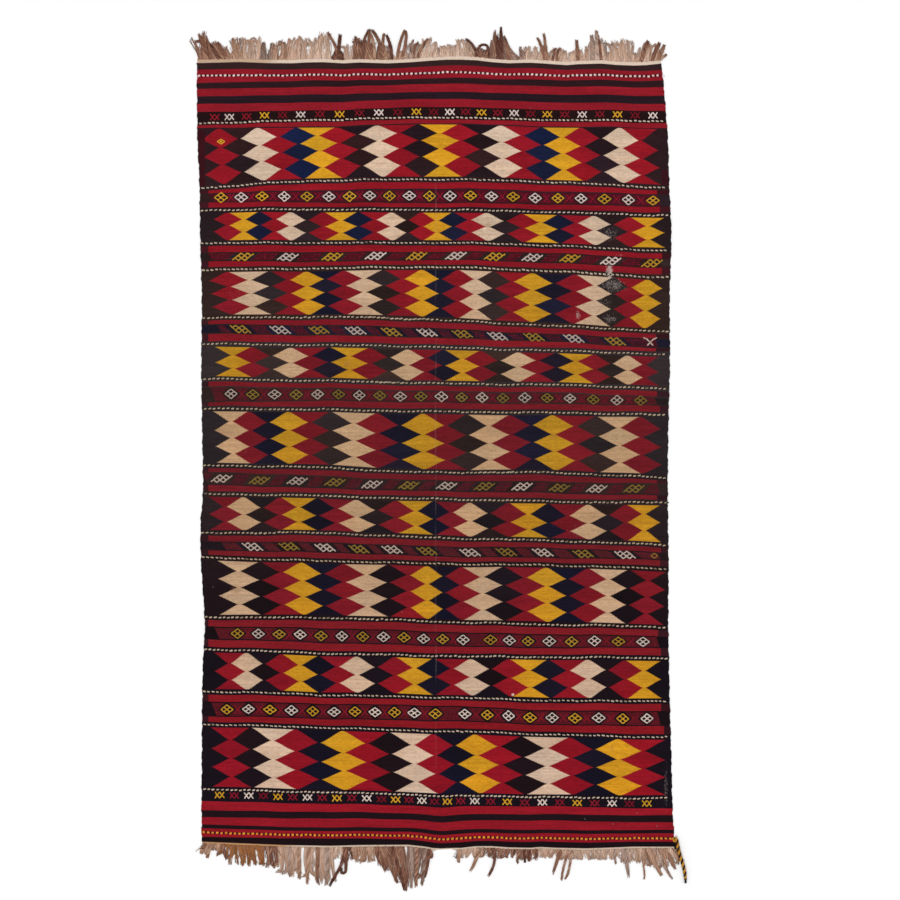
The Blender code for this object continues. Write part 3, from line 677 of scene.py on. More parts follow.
def columns_of(places):
    """The photograph's column of every motif, from those that are given."""
    count = places[-1][0] + 1
    return smooth_between([p[0] for p in places], [p[1] for p in places], np.arange(count))


def selvedge(down, side):
    """Where the left or right edge of the cloth lies."""
    return smooth_between([e.down for e in EDGES], [getattr(e, side) for e in EDGES], down)


def fold_dip(across, down):
    """How far a row dips near the fold, towards the foot end."""
    ramp = np.clip((down - DIP_STARTS) / (DIP_FULL - DIP_STARTS), 0, 1)
    return DIP_DEPTH * ramp * np.exp(-(((across - DIP_ACROSS) / DIP_HALF_WIDTH) ** 2))


def waver(across, down):
    """How far a woven row strays from its smooth line."""
    return sum(wave.height * np.sin(across / wave.across + down / wave.down + wave.start)
               for wave in WAVES)


def ripple(across, down):
    """How far a row near either end follows the ripples of that end."""
    total = 0.0
    for name, end in (("head edge", HEAD_END), ("foot edge", FOOT_END)):
        rows = np.interp(across, [across_of(column) for column, _ in end],
                         [down_of_row(row) for _, row in end])
        line = smooth_between(STATIONS, LINES[name], across)
        near = np.exp(-np.abs(down - line) / RIPPLE_REACH)
        total = total + (rows - line) * near - waver(across, line) * near
    return total


def line_at(downs, across):
    """How far down a woven line lies, at places across."""
    down = smooth_between(STATIONS, downs, across)
    return down + fold_dip(across, down) + waver(across, down) + ripple(across, down)


def rise(across, down):
    """How far the cloth's underside stands off the floor."""
    left = selvedge(down, "left")
    share = (across - left) / (selvedge(down, "right") - left)
    level = np.clip(np.minimum(down, WOVEN_LENGTH - down) / LEVEL_END - FLAT_SHARE, 0, 1)
    total = -SWELL_FLOOR
    for swell in SWELLS:
        total = total + swell.height * np.exp(-((across - swell.across) / swell.half_width) ** 2
                                              - ((down - swell.down) / swell.half_length) ** 2)
    fold = (share - FOLD_SHARE) * (EDGES[0].right - EDGES[0].left) / FOLD_HALF_WIDTH
    return level * (np.maximum(total, 0) + FOLD_HEIGHT * np.exp(-fold * fold))


def rib(across, down):
    """How far a twined line raises the cloth at a place."""
    height = np.zeros_like(down)
    for downs in list(LINES.values())[1:-1]:
        off = np.abs(down - line_at(downs, across))
        height = np.maximum(height, RIB_HEIGHT * np.clip(1 - off / RIB_HALF_WIDTH, 0, 1))
    return height


def world(across, down, height):
    """Points in metres in the frame's own axes."""
    return np.stack([(across + SHIFT_ACROSS) * MM,
                     (WOVEN_LENGTH / 2 - down + SHIFT_UP) * MM,
                     np.asarray(height, float) * MM], axis=-1)


# ---- meshes ----
def mesh_object(name, points, faces, material, colours):
    """A mesh piece. colours are one linear RGBA for each face corner, kept as "dye"."""
    mesh = bpy.data.meshes.new(name)
    faces = np.asarray(faces, np.int32)
    count, sides = faces.shape
    mesh.vertices.add(len(points))
    mesh.vertices.foreach_set("co", np.asarray(points, np.float32).ravel())
    mesh.loops.add(count * sides)
    mesh.loops.foreach_set("vertex_index", faces.ravel())
    mesh.polygons.add(count)
    mesh.polygons.foreach_set("loop_start", np.arange(count, dtype=np.int32) * sides)
    mesh.update(calc_edges=True)
    layer = mesh.color_attributes.new("dye", "FLOAT_COLOR", "CORNER")
    layer.data.foreach_set("color", np.asarray(colours, np.float32).ravel())
    mesh.polygons.foreach_set("use_smooth", np.full(count, True))
    mesh.materials.append(material)
    thing = bpy.data.objects.new(name, mesh)
    bpy.context.scene.collection.objects.link(thing)
    return thing


def tube_faces(steps, sides):
    """The triangles of a tube whose points go round its rings, one ring after another."""
    ring = np.arange(sides)[None, :]
    a = np.arange(steps - 1)[:, None] * sides + ring
    b = np.arange(steps - 1)[:, None] * sides + (ring + 1) % sides
    quads = np.stack([a, b, b + sides, a + sides], -1).reshape(-1, 4)
    cap = np.array([(0, k + 1, k) for k in range(1, sides - 1)])
    far_cap = cap[:, ::-1] + (steps - 1) * sides
    return np.concatenate([quads[:, [0, 1, 2]], quads[:, [0, 2, 3]], cap, far_cap])


def tubes(name, paths, radii, tints, material, sides):
    """One mesh of many tubes. paths is (tubes, points, 3) in millimetres: across, down, height."""
    paths = np.asarray(paths, float)
    count, steps, _ = paths.shape
    spots = world(paths[..., 0], paths[..., 1], paths[..., 2])
    along = np.gradient(spots, axis=1)
    along /= np.maximum(np.linalg.norm(along, axis=2, keepdims=True), TINY)
    aside = np.cross(along, np.array([0, 0, 1.0]))
    aside /= np.maximum(np.linalg.norm(aside, axis=2, keepdims=True), TINY)
    up = np.cross(aside, along)
    turn = math.tau * (np.arange(sides) + 0.5) / sides
    ring = (aside[:, :, None, :] * np.cos(turn)[None, None, :, None]
            + up[:, :, None, :] * np.sin(turn)[None, None, :, None])
    points = spots[:, :, None, :] + ring * (np.asarray(radii) * MM)[:, :, None, None]
    faces = tube_faces(steps, sides)
    offsets = (np.arange(count) * steps * sides)[:, None, None]
    colours = np.asarray(tints, float)[:, (faces // sides).ravel(), :]
    return mesh_object(name, points.reshape(-1, 3), (faces[None] + offsets).reshape(-1, 3), material,
                       colours.reshape(-1, 4))


# ---- the cloth's pattern ----
class Pattern:
    """The cloth's plan: outlines that share their points, each with its dye and its own seed."""

    def __init__(self):
        self.points = []
        self.outlines = []
        self.dyes = []
        self.seeds = []
        self.rng = random.Random(PATTERN_SEED)

    def add(self, across, down, dye):
        start = len(self.points)
        self.points += list(zip(across, down))
        order = list(range(start, len(self.points)))
        turn = np.sum(across * np.roll(down, -1) - np.roll(across, -1) * down)
        self.outlines.append(order if turn > 0 else order[::-1])
        self.dyes.append(dye)
        self.seeds.append(self.rng.random())


def row_places(left, right):
    """Places across a row, which are the same for every row between the selvedges."""
    inner = np.arange(math.ceil(left / ROW_STEP) * ROW_STEP, right - 1, ROW_STEP)
    inner = inner[inner > left + 4]
    return np.concatenate([[left], inner, [right]])


def edge_across(down, side):
    """The selvedge with the small scallops that its wrapped wefts give it."""
    start = 0.0 if side == "right" else LEFT_SCALLOP_START
    wobble = sum(height * np.sin(down / length + start + length) for height, length in SCALLOPS)
    return selvedge(down, side) + wobble


def row_between(downs, left, right, shift):
    """The points of a row, from one column or selvedge to another."""
    middle = float(np.mean(downs))
    ends = []
    for side, column in (("left", left), ("right", right)):
        if column is None:
            crossing = line_at(downs, selvedge(middle, side))
            ends.append(float(edge_across(crossing, side)))
        else:
            ends.append(across_of(column) + shift)
    across = row_places(*ends)
    return across, line_at(downs, across)


def side_between(side, column, top, low):
    """The points between a strip's two rows, which follow the selvedge unless a column cuts it."""
    if column is not None:
        return np.array([]), np.array([])
    count = max(int((low - top) / SELVEDGE_STEP), 1)
    down = np.linspace(top, low, count + 1)[1:-1]
    return edge_across(down, side), down


def strip(pattern, dye, upper, lower, left=None, right=None, lean=0.0):
    """A stretch of cloth between two rows. left and right are columns, or the selvedges."""
    top_across, top_down = row_between(upper, left, right, lean * PIXEL / 2)
    low_across, low_down = row_between(lower, left, right, -lean * PIXEL / 2)
    right_across, right_down = side_between("right", right, top_down[-1], low_down[-1])
    left_across, left_down = side_between("left", left, top_down[0], low_down[0])
    pattern.add(np.concatenate([top_across, right_across, low_across[::-1], left_across[::-1]]),
                np.concatenate([top_down, right_down, low_down[::-1], left_down[::-1]]), dye)


def band_marks(rows):
    """Where the half rows of a band's lozenges start and end, in shares of its height."""
    heights = np.array([END_HALF] + [1.0] * (2 * rows - 2) + [END_HALF])
    return np.concatenate([[0.0], np.cumsum(heights) / heights.sum()])


def stepped(start, end, top, low):
    """A stepped line across from start to end, and down from one share of a band to another."""
    steps = max(round(abs(end - start) / STEP), 2)
    t = (np.arange(steps) + 0.5) / steps
    eased = t + EDGE_CURL * (t * t * (3 - 2 * t) - t)
    across = np.repeat(start + (end - start) * np.arange(steps + 1) / steps, 2)
    share = np.concatenate([[0.0], np.repeat(eased, 2), [1.0]])
    return across, top + (low - top) * share


def band_sides(band, columns, marks):
    """The stepped lines between neighbouring columns of a band, one for each of its half rows."""
    lean = np.interp(columns, STATION_COLUMNS, band.lean)
    leans = np.concatenate([[lean[0]], lean, [lean[-1]]])
    middles = np.concatenate([[2 * columns[0] - columns[1]], columns, [2 * columns[-1] - columns[-2]]])

    def neck(k, half):
        return across_of(middles[k] + leans[k] * (marks[half] - 0.5))

    def side_of(k, half):
        neck_left = ((half + k) % 2 == 1) != band.half_first
        left = neck(k, half if neck_left else half + 1) + NECK * PIXEL
        right = neck(k + 1, half + 1 if neck_left else half) - NECK * PIXEL
        start, end = (left, right) if neck_left else (right, left)
        return stepped(start, end, marks[half], marks[half + 1])

    return [[side_of(k, half) for half in range(2 * band.rows)] for k in range(len(columns) + 1)]


def lozenges(pattern, number, band, upper, lower):
    """A band's columns of lozenges, whose stepped sides lean between the columns' necks."""
    columns = columns_of(band.places)
    sides = band_sides(band, columns, band_marks(band.rows))
    for n in range(len(columns)):
        odd = (n % 2 == 1) != band.half_first
        necks = [0] + list(range(1 if odd else 2, 2 * band.rows, 2)) + [2 * band.rows]
        dye = ODD_LOZENGES.get((number, n), CYCLE[(band.first + band.way * n) % len(CYCLE)])
        for top, low in zip(necks, necks[1:]):
            right = sides[n + 1][top:low]
            left = sides[n][top:low][::-1]
            across = np.concatenate([s[0] for s in right] + [s[0][::-1] for s in left])
            share = np.concatenate([s[1] for s in right] + [s[1][::-1] for s in left])
            high = line_at(upper, across)
            sag = smooth_between(STATIONS, band.sag, across) * PIXEL * 4 * share * (1 - share)
            pattern.add(across, high + (line_at(lower, across) - high) * share + sag, dye)


def halo_shape(motif):
    """The outline of a motif's dark patch, as columns from its middle and shares down the ground."""
    if motif == "lozenge":
        columns = (-HALO_TOP, HALO_TOP, HALO_MIDDLE, HALO_TOP, -HALO_TOP, -HALO_MIDDLE)
        return np.array(columns), np.array([0, 0, 0.5, 1, 1, 0.5])
    lean = HALO_LEAN if motif == "rising" else -HALO_LEAN
    columns = (-HALO_SIDE + lean, HALO_SIDE + lean, HALO_SIDE - lean, -HALO_SIDE - lean)
    return np.array(columns), np.array([0.0, 0.0, 1.0, 1.0])


def halos(pattern, border):
    """The dark patches behind a narrow band's motifs."""
    top = downs_of(border.top, THIN_LINE)
    bottom = downs_of(border.bottom, -THIN_LINE)
    limits = [selvedge(float(np.mean(top)), side) for side in ("left", "right")]
    offsets, share = halo_shape(border.motif)
    for column in columns_of(border.places):
        across = np.clip(across_of(column + offsets), limits[0] + HALO_CLEAR, limits[1] - HALO_CLEAR)
        high = line_at(top, across)
        pattern.add(across, high + (line_at(bottom, across) - high) * share, border.halo)


def narrow_band(pattern, border, above, high_line, low_line):
    """A narrow band between two twined lines. Returns the row where its lower red stripe ends."""
    cuts = (moved(high_line, DARK_LINE), downs_of(border.top), downs_of(border.top, THIN_LINE),
            downs_of(border.bottom, -THIN_LINE), downs_of(border.bottom), moved(low_line, -DARK_LINE))
    strip(pattern, "black", above, cuts[0])
    stripes = ("border red", "black", border.ground, "black", "border red")
    for dye, upper, lower in zip(stripes, cuts, cuts[1:]):
        strip(pattern, dye, upper, lower)
    halos(pattern, border)
    for upper, lower, stop in zip((cuts[0], cuts[4]), (cuts[1], cuts[5]), border.stops):
        strip(pattern, "dull red", upper, lower, right=LEFT_END_COLUMN)
        strip(pattern, "dull red", upper, lower, left=stop)
    strip(pattern, border.halo, cuts[2], cuts[3], right=border.reach[0], lean=LEFT_GROUND_LEAN)
    strip(pattern, border.halo, cuts[2], cuts[3], left=border.reach[1], lean=RIGHT_GROUND_LEAN)
    return cuts[-1]


def draw_stripes(pattern, stripes, above):
    """Stripes one below another. Returns the row where the last one ends."""
    for dye, rows in stripes:
        below = downs_of(rows)
        strip(pattern, dye, above, below)
        above = below
    return above


def draw_pattern():
    """Lays out every stripe, lozenge and halo, from the head end to the foot end."""
    pattern = Pattern()
    above = draw_stripes(pattern, HEAD_STRIPES, LINES["head edge"])
    below = moved(LINES["twine 1"], HALF_LINE)
    strip(pattern, "black", above, below)
    above = downs_of(FIRST_BAND_TOP)
    strip(pattern, "stripe", below, above)
    band_tops = [downs_of(FIRST_BAND_TOP, THIN_LINE)]
    band_lows = []
    for number, border in enumerate(BORDERS):
        high_line = LINES[f"twine {2 * number + 2}"]
        low_line = LINES[f"twine {2 * number + 3}"]
        above = narrow_band(pattern, border, above, high_line, low_line)
        band_lows.append(moved(high_line, -DARK_LINE))
        band_tops.append(moved(low_line, DARK_LINE))
    band_lows.append(moved(LINES["twine 18"], -DARK_LINE))
    above = draw_stripes(pattern, FOOT_STRIPES, above)
    strip(pattern, "black", above, LINES["foot edge"])
    for number, (band, upper, lower) in enumerate(zip(BANDS, band_tops, band_lows)):
        lozenges(pattern, number, band, upper, lower)
    for patch in DULL_ENDS:
        rows = [downs_of((row,) * len(STATIONS)) for row in (patch.top, patch.bottom)]
        strip(pattern, "dull red", *rows, left=patch.left, right=patch.right)
    return pattern


def extra_points():
    """Points that let the sheet follow its swells, its fold's ridge and its ribs."""
    across, down = [], []
    for at in np.arange(40, WOVEN_LENGTH - 30, SHEET_ROW_STEP):
        places = np.arange(-820, 820, SHEET_STEP)
        across += list(places + (at // SHEET_ROW_STEP % 2) * SHEET_STEP / 2)
        down += [at] * len(places)
    for at in np.arange(30, WOVEN_LENGTH - 30, SHEET_ROW_STEP / 2):
        left, right = selvedge(at, "left"), selvedge(at, "right")
        across += list(left + (right - left) * FOLD_SHARE + np.array(FOLD_POINTS))
        down += [at] * len(FOLD_POINTS)
    for downs in list(LINES.values())[1:-1]:
        places = np.arange(-825, 825, ROW_STEP)
        for off in (-RIB_HALF_WIDTH, 0, RIB_HALF_WIDTH):
            across += list(places)
            down += list(line_at(downs, places) + off)
    return across, down


# ---- the cloth ----
def triangles_of(pattern):
    """The plan cut into triangles, and the outline that each of them belongs to."""
    flat = pattern.points + list(zip(*extra_points()))
    made = delaunay_2d_cdt([Vector(p) for p in flat], [], pattern.outlines, INSIDE_ONLY, MERGE_WITHIN, True)
    spots = np.array([(v.x, v.y) for v in made[0]])
    faces = np.array([f[:3] for f in made[2]], np.int32)
    owner = np.array([max(ids) if ids else -1 for ids in made[5]])
    a, b, c = (spots[faces[:, k]] for k in range(3))
    turn = (b[:, 0] - a[:, 0]) * (c[:, 1] - a[:, 1]) - (c[:, 0] - a[:, 0]) * (b[:, 1] - a[:, 1])
    kept = (np.abs(turn) > SLIVER) & (owner >= 0)
    faces, owner, turn = faces[kept], owner[kept], turn[kept]
    faces[turn > 0] = faces[turn > 0][:, ::-1]
    return spots, faces, owner


def rim_of(spots, faces, owner):
    """The sheet's outer edges, the outline that owns each, and the way out at every point."""
    pairs = np.concatenate([faces[:, [0, 1]], faces[:, [1, 2]], faces[:, [2, 0]]])
    owners = np.concatenate([owner, owner, owner])
    keys = pairs[:, 0].astype(np.int64) * len(spots) + pairs[:, 1]
    back = pairs[:, 1].astype(np.int64) * len(spots) + pairs[:, 0]
    rim = ~np.isin(keys, back)
    out = np.zeros((len(spots), 2))
    for first, second in pairs[rim]:
        along = spots[second] - spots[first]
        normal = np.array([-along[1], along[0]]) / max(np.hypot(*along), TINY)
        out[first] += normal
        out[second] += normal
    return pairs[rim], owners[rim], out / np.maximum(np.hypot(out[:, 0], out[:, 1]), TINY)[:, None]


def dyed_corners(pattern, owner, down):
    """The colour at each corner of each triangle, in the tone of the outline that owns it."""
    colours = np.ones((len(owner), 3, 4))
    names = np.array(pattern.dyes)[owner]
    seeds = np.array(pattern.seeds)[owner]
    spread = np.zeros(len(owner))
    for name in set(pattern.dyes):
        colours[names == name, :, :3] = faded(DYES[name], down[names == name])
        spread[names == name] = DYES[name].spread
    lighter = 1 + spread * (2 * seeds - 1)
    warmer = 1 + 0.5 * spread * np.sin(HUE_SHUFFLE * seeds)
    tilt = np.stack([lighter * warmer, lighter, lighter / warmer], 1)
    colours[:, :, :3] *= tilt[:, None, :]
    colours[:, :, 3] = seeds[:, None]
    return colours


def make_cloth(material):
    """The woven cloth: one thin closed sheet, whose faces wear the pattern's dyes."""
    pattern = draw_pattern()
    spots, faces, owner = triangles_of(pattern)
    rim_pairs, rim_owner, out = rim_of(spots, faces, owner)
    rim_spots = np.unique(rim_pairs)
    count = len(spots)
    across, down = spots[:, 0], spots[:, 1]
    low = rise(across, down)
    high = low + CLOTH_THICKNESS + rib(across, down)
    high[rim_spots] -= RIM_DROP
    low[rim_spots] += RIM_LIFT
    middle = (spots + out * RIM_BULGE)[rim_spots]
    points = np.concatenate([
        world(across, down, high), world(across, down, low),
        world(middle[:, 0], middle[:, 1], (high + low)[rim_spots] / 2)])
    ring = np.full(count, -1)
    ring[rim_spots] = 2 * count + np.arange(len(rim_spots))
    top, bottom, mid = rim_pairs, rim_pairs + count, ring[rim_pairs]
    walls = np.concatenate([
        np.stack([top[:, 1], top[:, 0], mid[:, 0]], 1), np.stack([top[:, 1], mid[:, 0], mid[:, 1]], 1),
        np.stack([mid[:, 1], mid[:, 0], bottom[:, 0]], 1),
        np.stack([mid[:, 1], bottom[:, 0], bottom[:, 1]], 1)])
    all_faces = np.concatenate([faces, faces[:, ::-1] + count, walls])
    all_owner = np.concatenate([owner, owner] + [rim_owner] * 4)
    all_down = np.concatenate([down, down, down[rim_spots]])[all_faces]
    colours = dyed_corners(pattern, all_owner, all_down)
    cloth = mesh_object("kilim_cloth", points, all_faces, material, colours)
    add_bake_map(cloth, len(faces))
    return cloth


def on_map(place, share):
    """A share of the way along a place on the map, which is given by its start and its length."""
    return place[0] + place[1] * share


def add_bake_map(cloth, top_faces):
    """A map for baking: the face takes most of it, then the underside, and the rim a thin strip."""
    mesh = cloth.data
    spots = np.empty(len(mesh.vertices) * 3, np.float32)
    mesh.vertices.foreach_get("co", spots)
    spots = spots.reshape(-1, 3)
    corner = np.empty(len(mesh.loops), np.int32)
    mesh.loops.foreach_get("vertex_index", corner)
    share = (spots[corner] - spots.min(0)) / (spots.max(0) - spots.min(0))
    face = np.repeat(np.arange(len(mesh.polygons)), 3)
    uv = np.empty_like(share[:, :2])
    uv[:, 0] = np.where(face < top_faces, on_map(MAP_FACE, share[:, 0]), on_map(MAP_UNDER, share[:, 0]))
    uv[:, 1] = on_map(MAP_HEIGHT, share[:, 1])
    wall = face >= 2 * top_faces
    uv[wall, 0] = on_map(MAP_RIM, share[wall, 2])
    uv[wall, 1] = on_map(MAP_RIM_LENGTH, share[wall, 1]) + MAP_RIM_RIGHT * (share[wall, 0] > 0.5)
    layer = mesh.uv_layers.new(name="OFBake")
    layer.uv.foreach_set("vector", uv.astype(np.float32).ravel())


# ---- stitches ----
def blob(sides, rings):
    """A plump little form: points on a unit ball and its triangles."""
    points = [(-1.0, 0.0, 0.0)]
    for ring in range(1, rings + 1):
        angle = math.pi * ring / (rings + 1)
        for side in range(sides):
            turn = math.tau * (side + 0.5 * (ring % 2)) / sides
            points.append((-math.cos(angle), math.sin(angle) * math.cos(turn),
                           math.sin(angle) * math.sin(turn)))
    points.append((1.0, 0.0, 0.0))
    faces = []
    for side in range(sides):
        after = (side + 1) % sides
        faces.append((0, 1 + after, 1 + side))
        for ring in range(rings - 1):
            a = 1 + ring * sides + side
            b = 1 + ring * sides + after
            faces.append((a, b, b + sides))
            faces.append((a, b + sides, a + sides))
        last = 1 + (rings - 1) * sides
        faces.append((last + side, last + after, len(points) - 1))
    return np.array(points), np.array(faces)


def make_stitches(name, stitches, material, sides):
    """One mesh of all the given stitches, each lying on the cloth."""
    shape, faces = blob(sides, STITCH_RINGS)
    across = np.array([s.across for s in stitches])
    down = np.array([s.down for s in stitches])
    size = np.array([(s.length, s.width, s.height) for s in stitches]) / 2
    angle = np.array([s.angle for s in stitches])[:, None]
    base = rise(across, down) + CLOTH_THICKNESS + rib(across, down) * STITCH_ON_RIB
    rounded = np.sign(shape[:, 0]) * np.abs(shape[:, 0]) ** STITCH_BLUNTNESS
    along = rounded[None, :] * size[:, 0:1]
    aside = shape[None, :, 1] * size[:, 1:2]
    up = shape[None, :, 2] * size[:, 2:3]
    x = across[:, None] + along * np.cos(angle) - aside * np.sin(angle)
    y = down[:, None] - along * np.sin(angle) - aside * np.cos(angle)
    z = base[:, None] + up + size[:, 2:3] * STITCH_LIFT
    offsets = (np.arange(len(stitches)) * len(shape))[:, None, None]
    tint = np.ones((len(stitches), 4))
    for k, stitch in enumerate(stitches):
        tint[k, :3] = faded(YARNS[stitch.yarn], stitch.down) * stitch.shade
        tint[k, 3] = (k * SEED_STEP) % 1
    return mesh_object(name, world(x, y, z).reshape(-1, 3), (faces[None] + offsets).reshape(-1, 3),
                       material, np.repeat(tint, len(faces) * 3, axis=0))


def laid(kind, across, down, longer=1.0, wider=1.0, angle=0.0, shade=1.0):
    """A stitch of a kind. The random draws are made in this order: its length, width, angle, shade."""
    return Stitch(across, down, kind.length * longer, kind.width * wider, kind.height, angle, kind.yarn,
                  shade)


def slope_at(downs, across, reach):
    """How steeply a woven line falls at a place."""
    return float(line_at(downs, across + reach) - line_at(downs, across - reach)) / (2 * reach)


def twine_stitches(rng):
    """The two-strand twined lines: a light and a dark strand show by turns."""
    found = []
    for name, downs in list(LINES.items())[2:-2]:
        at = selvedge(downs[0], "left") + rng.uniform(5, 12)
        runs = [(across_of(run.start), across_of(run.end)) for run in PALE_RUNS if run.line == name]
        end = selvedge(downs[-1], "right") - 6
        lean = rng.choice((TWINE_LEAN, -TWINE_LEAN))
        plump = rng.uniform(0.86, 1.08)
        while at < end:
            down = float(line_at(downs, at)) + rng.gauss(0, 0.7)
            pitch = TWINE_PITCH * rng.uniform(0.9, 1.12)
            worn = rng.random() < TWINE_WORN_SHARE
            pale = any(start < at < finish for start, finish in runs)
            longer = rng.uniform(0.85, 1.15)
            angle = lean - math.atan(slope_at(downs, at, 10))
            shade = rng.uniform(0.4, 0.65) if worn else rng.uniform(0.82, 1.08)
            wider = plump * rng.uniform(0.85, 1.1)
            found.append(laid(LONE_STRAND if pale else LIGHT_STRAND, at, down, longer, wider, angle, shade))
            if not pale:
                found.append(laid(DARK_STRAND, at + pitch / 2, down, angle=angle,
                                  shade=rng.uniform(0.8, 1.2)))
            at += pitch
    return found


def bead_stitches(rng):
    """The rows of round stitches near each end, and those that hold the tail to its corner."""
    found = []
    for name, kind in (("head beads", HEAD_BEAD), ("foot beads", FOOT_BEAD)):
        downs = LINES[name]
        at = selvedge(downs[0], "left") + 7
        end = selvedge(downs[-1], "right") - 3
        while at < end:
            down = float(line_at(downs, at)) + rng.gauss(0, 0.6)
            found.append(laid(kind, at, down, rng.uniform(0.9, 1.15), rng.uniform(0.85, 1.1),
                              rng.uniform(-0.4, 0.4), rng.uniform(0.85, 1.1)))
            found.append(laid(BEAD_GAP, at + TWINE_PITCH / 2, down, angle=rng.uniform(-0.3, 0.3),
                              shade=rng.uniform(0.8, 1.2)))
            at += TWINE_PITCH * rng.uniform(0.97, 1.05)
    corner = float(line_at(LINES["foot beads"], end))
    for wrap in WRAPS:
        kind = WRAP_STITCH._replace(yarn=wrap.yarn)
        found.append(laid(kind, end + wrap.across, corner + wrap.down, angle=wrap.angle, shade=0.85))
    return found


def lint_stitches(rng):
    """One pale nub of wool, and bits of lint caught in the cloth."""
    found = [laid(NUB, across_of(NUB_COLUMN), down_of_row(NUB_ROW), angle=0.3)]
    for lint in LINTS:
        found.append(laid(LINT_HAIR, across_of(lint.column), down_of_row(lint.row), lint.length, 1.0,
                          rng.uniform(0.9, 2.2), rng.uniform(0.4, 0.75)))
    return found


# ---- brocade motifs, charted as short bars of stitches, in the photograph's pixels ----
def halfway(p, q):
    return (p[0] + q[0]) / 2, (p[1] + q[1]) / 2


def lozenge_bars(half_width, half_height):
    """A lozenge cut into four by two bars."""
    top, right = (0, -half_height), (half_width, 0)
    low, left = (0, half_height), (-half_width, 0)
    return [(top, right), (halfway(top, left), halfway(right, low)), (left, low),
            (top, left), (halfway(top, right), halfway(left, low)), (right, low)]


def rising_bars(mirror):
    """A leaning net of four holes, with a tail at two corners."""
    def at(i, j):
        x = (i - 1) * CELL_ALONG[0] + (j - 0.5) * CELL_ASIDE[0]
        y = (i - 1) * CELL_ALONG[1] + (j - 0.5) * CELL_ASIDE[1]
        return (x, -y if mirror else y)
    return [(at(-1.3, -0.5), at(1.5, -0.5)), (at(-0.5, 0.5), at(2.5, 0.5)), (at(0.5, 1.5), at(3.3, 1.5)),
            (at(-0.5, -0.5), at(-0.5, 0.5)), (at(0.5, -0.5), at(0.5, 1.5)),
            (at(1.5, -0.5), at(1.5, 1.5)), (at(2.5, 0.5), at(2.5, 1.5))]


def cross_bars(centre, half_width, top, low):
    return [((centre - half_width, top), (centre + half_width, low)),
            ((centre - half_width, low), (centre + half_width, top))]


def odd_motifs():
    """The motifs that stand alone near the selvedges."""
    winged = [((-3.2, -2.4), (2.8, 3.6)), ((3.2, -2.4), (-2.8, 3.6)),
              ((-6.6, -4.0), (-2.4, -2.0)), ((6.6, -4.0), (2.4, -2.0))]
    ring = [((-3.4, 0), (0, -2.5)), ((0, -2.5), (3.4, 0)), ((3.4, 0), (0, 2.5)), ((0, 2.5), (-3.4, 0))]
    return (OddMotif(lozenge_bars(6.2, 4.2), 221.0, 141.5, "gold", 1.05, 4.4, 0.6),
            OddMotif(winged, 650.2, 341.6, "white", 1.0, 6.2, 1.0),
            OddMotif([((-1.2, 0.4), (1.2, 0.4))], 650.2, 341.6, "gold", 0.8, 6.0, 1.0),
            OddMotif(ring, 654.4, 555.7, "gold", 1.1, 4.4, 1.0))


def stitch_bars(found, rng, bars, column, down, yarn, shade, width=BAR_WIDTH, slope=0.0, size=1.0):
    """Lays a motif's bars as rows of stitches about a place on the cloth."""
    for (x0, y0), (x1, y1) in bars:
        run = math.hypot(x1 - x0, y1 - y0) * PIXEL * size
        count = max(round(run / BAR_STITCH_PITCH), 2)
        angle = math.atan2(-(y1 - y0), x1 - x0)
        kind = Kind(run / count * BAR_OVERLAP, width, BAR_HEIGHT, yarn)
        for k in range(count):
            t = (k + 0.5) / count
            x = (x0 + (x1 - x0) * t) * PIXEL * size
            y = (y0 + (y1 - y0) * t) * PIXEL * size
            across = across_of(column) + x + rng.gauss(0, 0.35)
            found.append(laid(kind, across, down + y + slope * x + rng.gauss(0, 0.35), 1.0,
                              rng.uniform(0.85, 1.1), angle + rng.uniform(-0.12, 0.12),
                              shade * rng.uniform(0.9, 1.08)))


def narrow_band_motifs(found, rng, border):
    """A narrow band's motifs, with a small cross between two lozenges that stand close."""
    top, bottom = downs_of(border.top), downs_of(border.bottom)
    columns = columns_of(border.places)
    steep = border.motif != "lozenge"

    def middle_of(column):
        across = across_of(column)
        return float(line_at(top, across) + line_at(bottom, across)) / 2

    for k, column in enumerate(columns):
        slope = slope_at(bottom, across_of(column), 20)
        yarn = border.yarns[k % 2]
        shade = rng.uniform(0.82, 1.05)
        if steep:
            stitch_bars(found, rng, rising_bars(border.motif == "falling"), column, middle_of(column), yarn,
                        shade, LEANING_WIDTH, slope, LEANING_SIZE)
            continue
        bars = lozenge_bars(6.2 * rng.uniform(0.94, 1.06), 4.7 * rng.uniform(0.94, 1.06))
        stitch_bars(found, rng, bars, column, middle_of(column), yarn, shade, slope=slope)
        if k + 1 < len(columns) and columns[k + 1] - column < CROSS_GAP:
            middle = (column + columns[k + 1]) / 2
            stitch_bars(found, rng, cross_bars(0, 3.2, -3.6, 3.6), middle, middle_of(middle), "madder",
                        rng.uniform(0.8, 1.05), 5.0, slope)


def brocade_stitches(rng):
    """Every raised motif of the narrow bands and of the cross bands."""
    found = []
    for border in BORDERS:
        narrow_band_motifs(found, rng, border)
    bars = cross_bars(-2.3, 2.15, -2.9, 2.9) + cross_bars(2.3, 2.15, -2.9, 2.9)
    for band in CROSS_BANDS:
        for k, column in enumerate(columns_of(band.places)):
            down = float(line_at(LINES[band.line], across_of(column))) + band.side * band.rows * PIXEL
            yarn = band.yarns[k % 4]
            shade = rng.uniform(0.55, 0.95) if yarn == "ruby" else rng.uniform(0.85, 1.05)
            stitch_bars(found, rng, bars, column, down, yarn, shade, CROSS_WIDTH)
    for motif in odd_motifs():
        stitch_bars(found, rng, motif.bars, motif.column, down_of_row(motif.row), motif.yarn, motif.shade,
                    motif.width, size=motif.size)
    return found


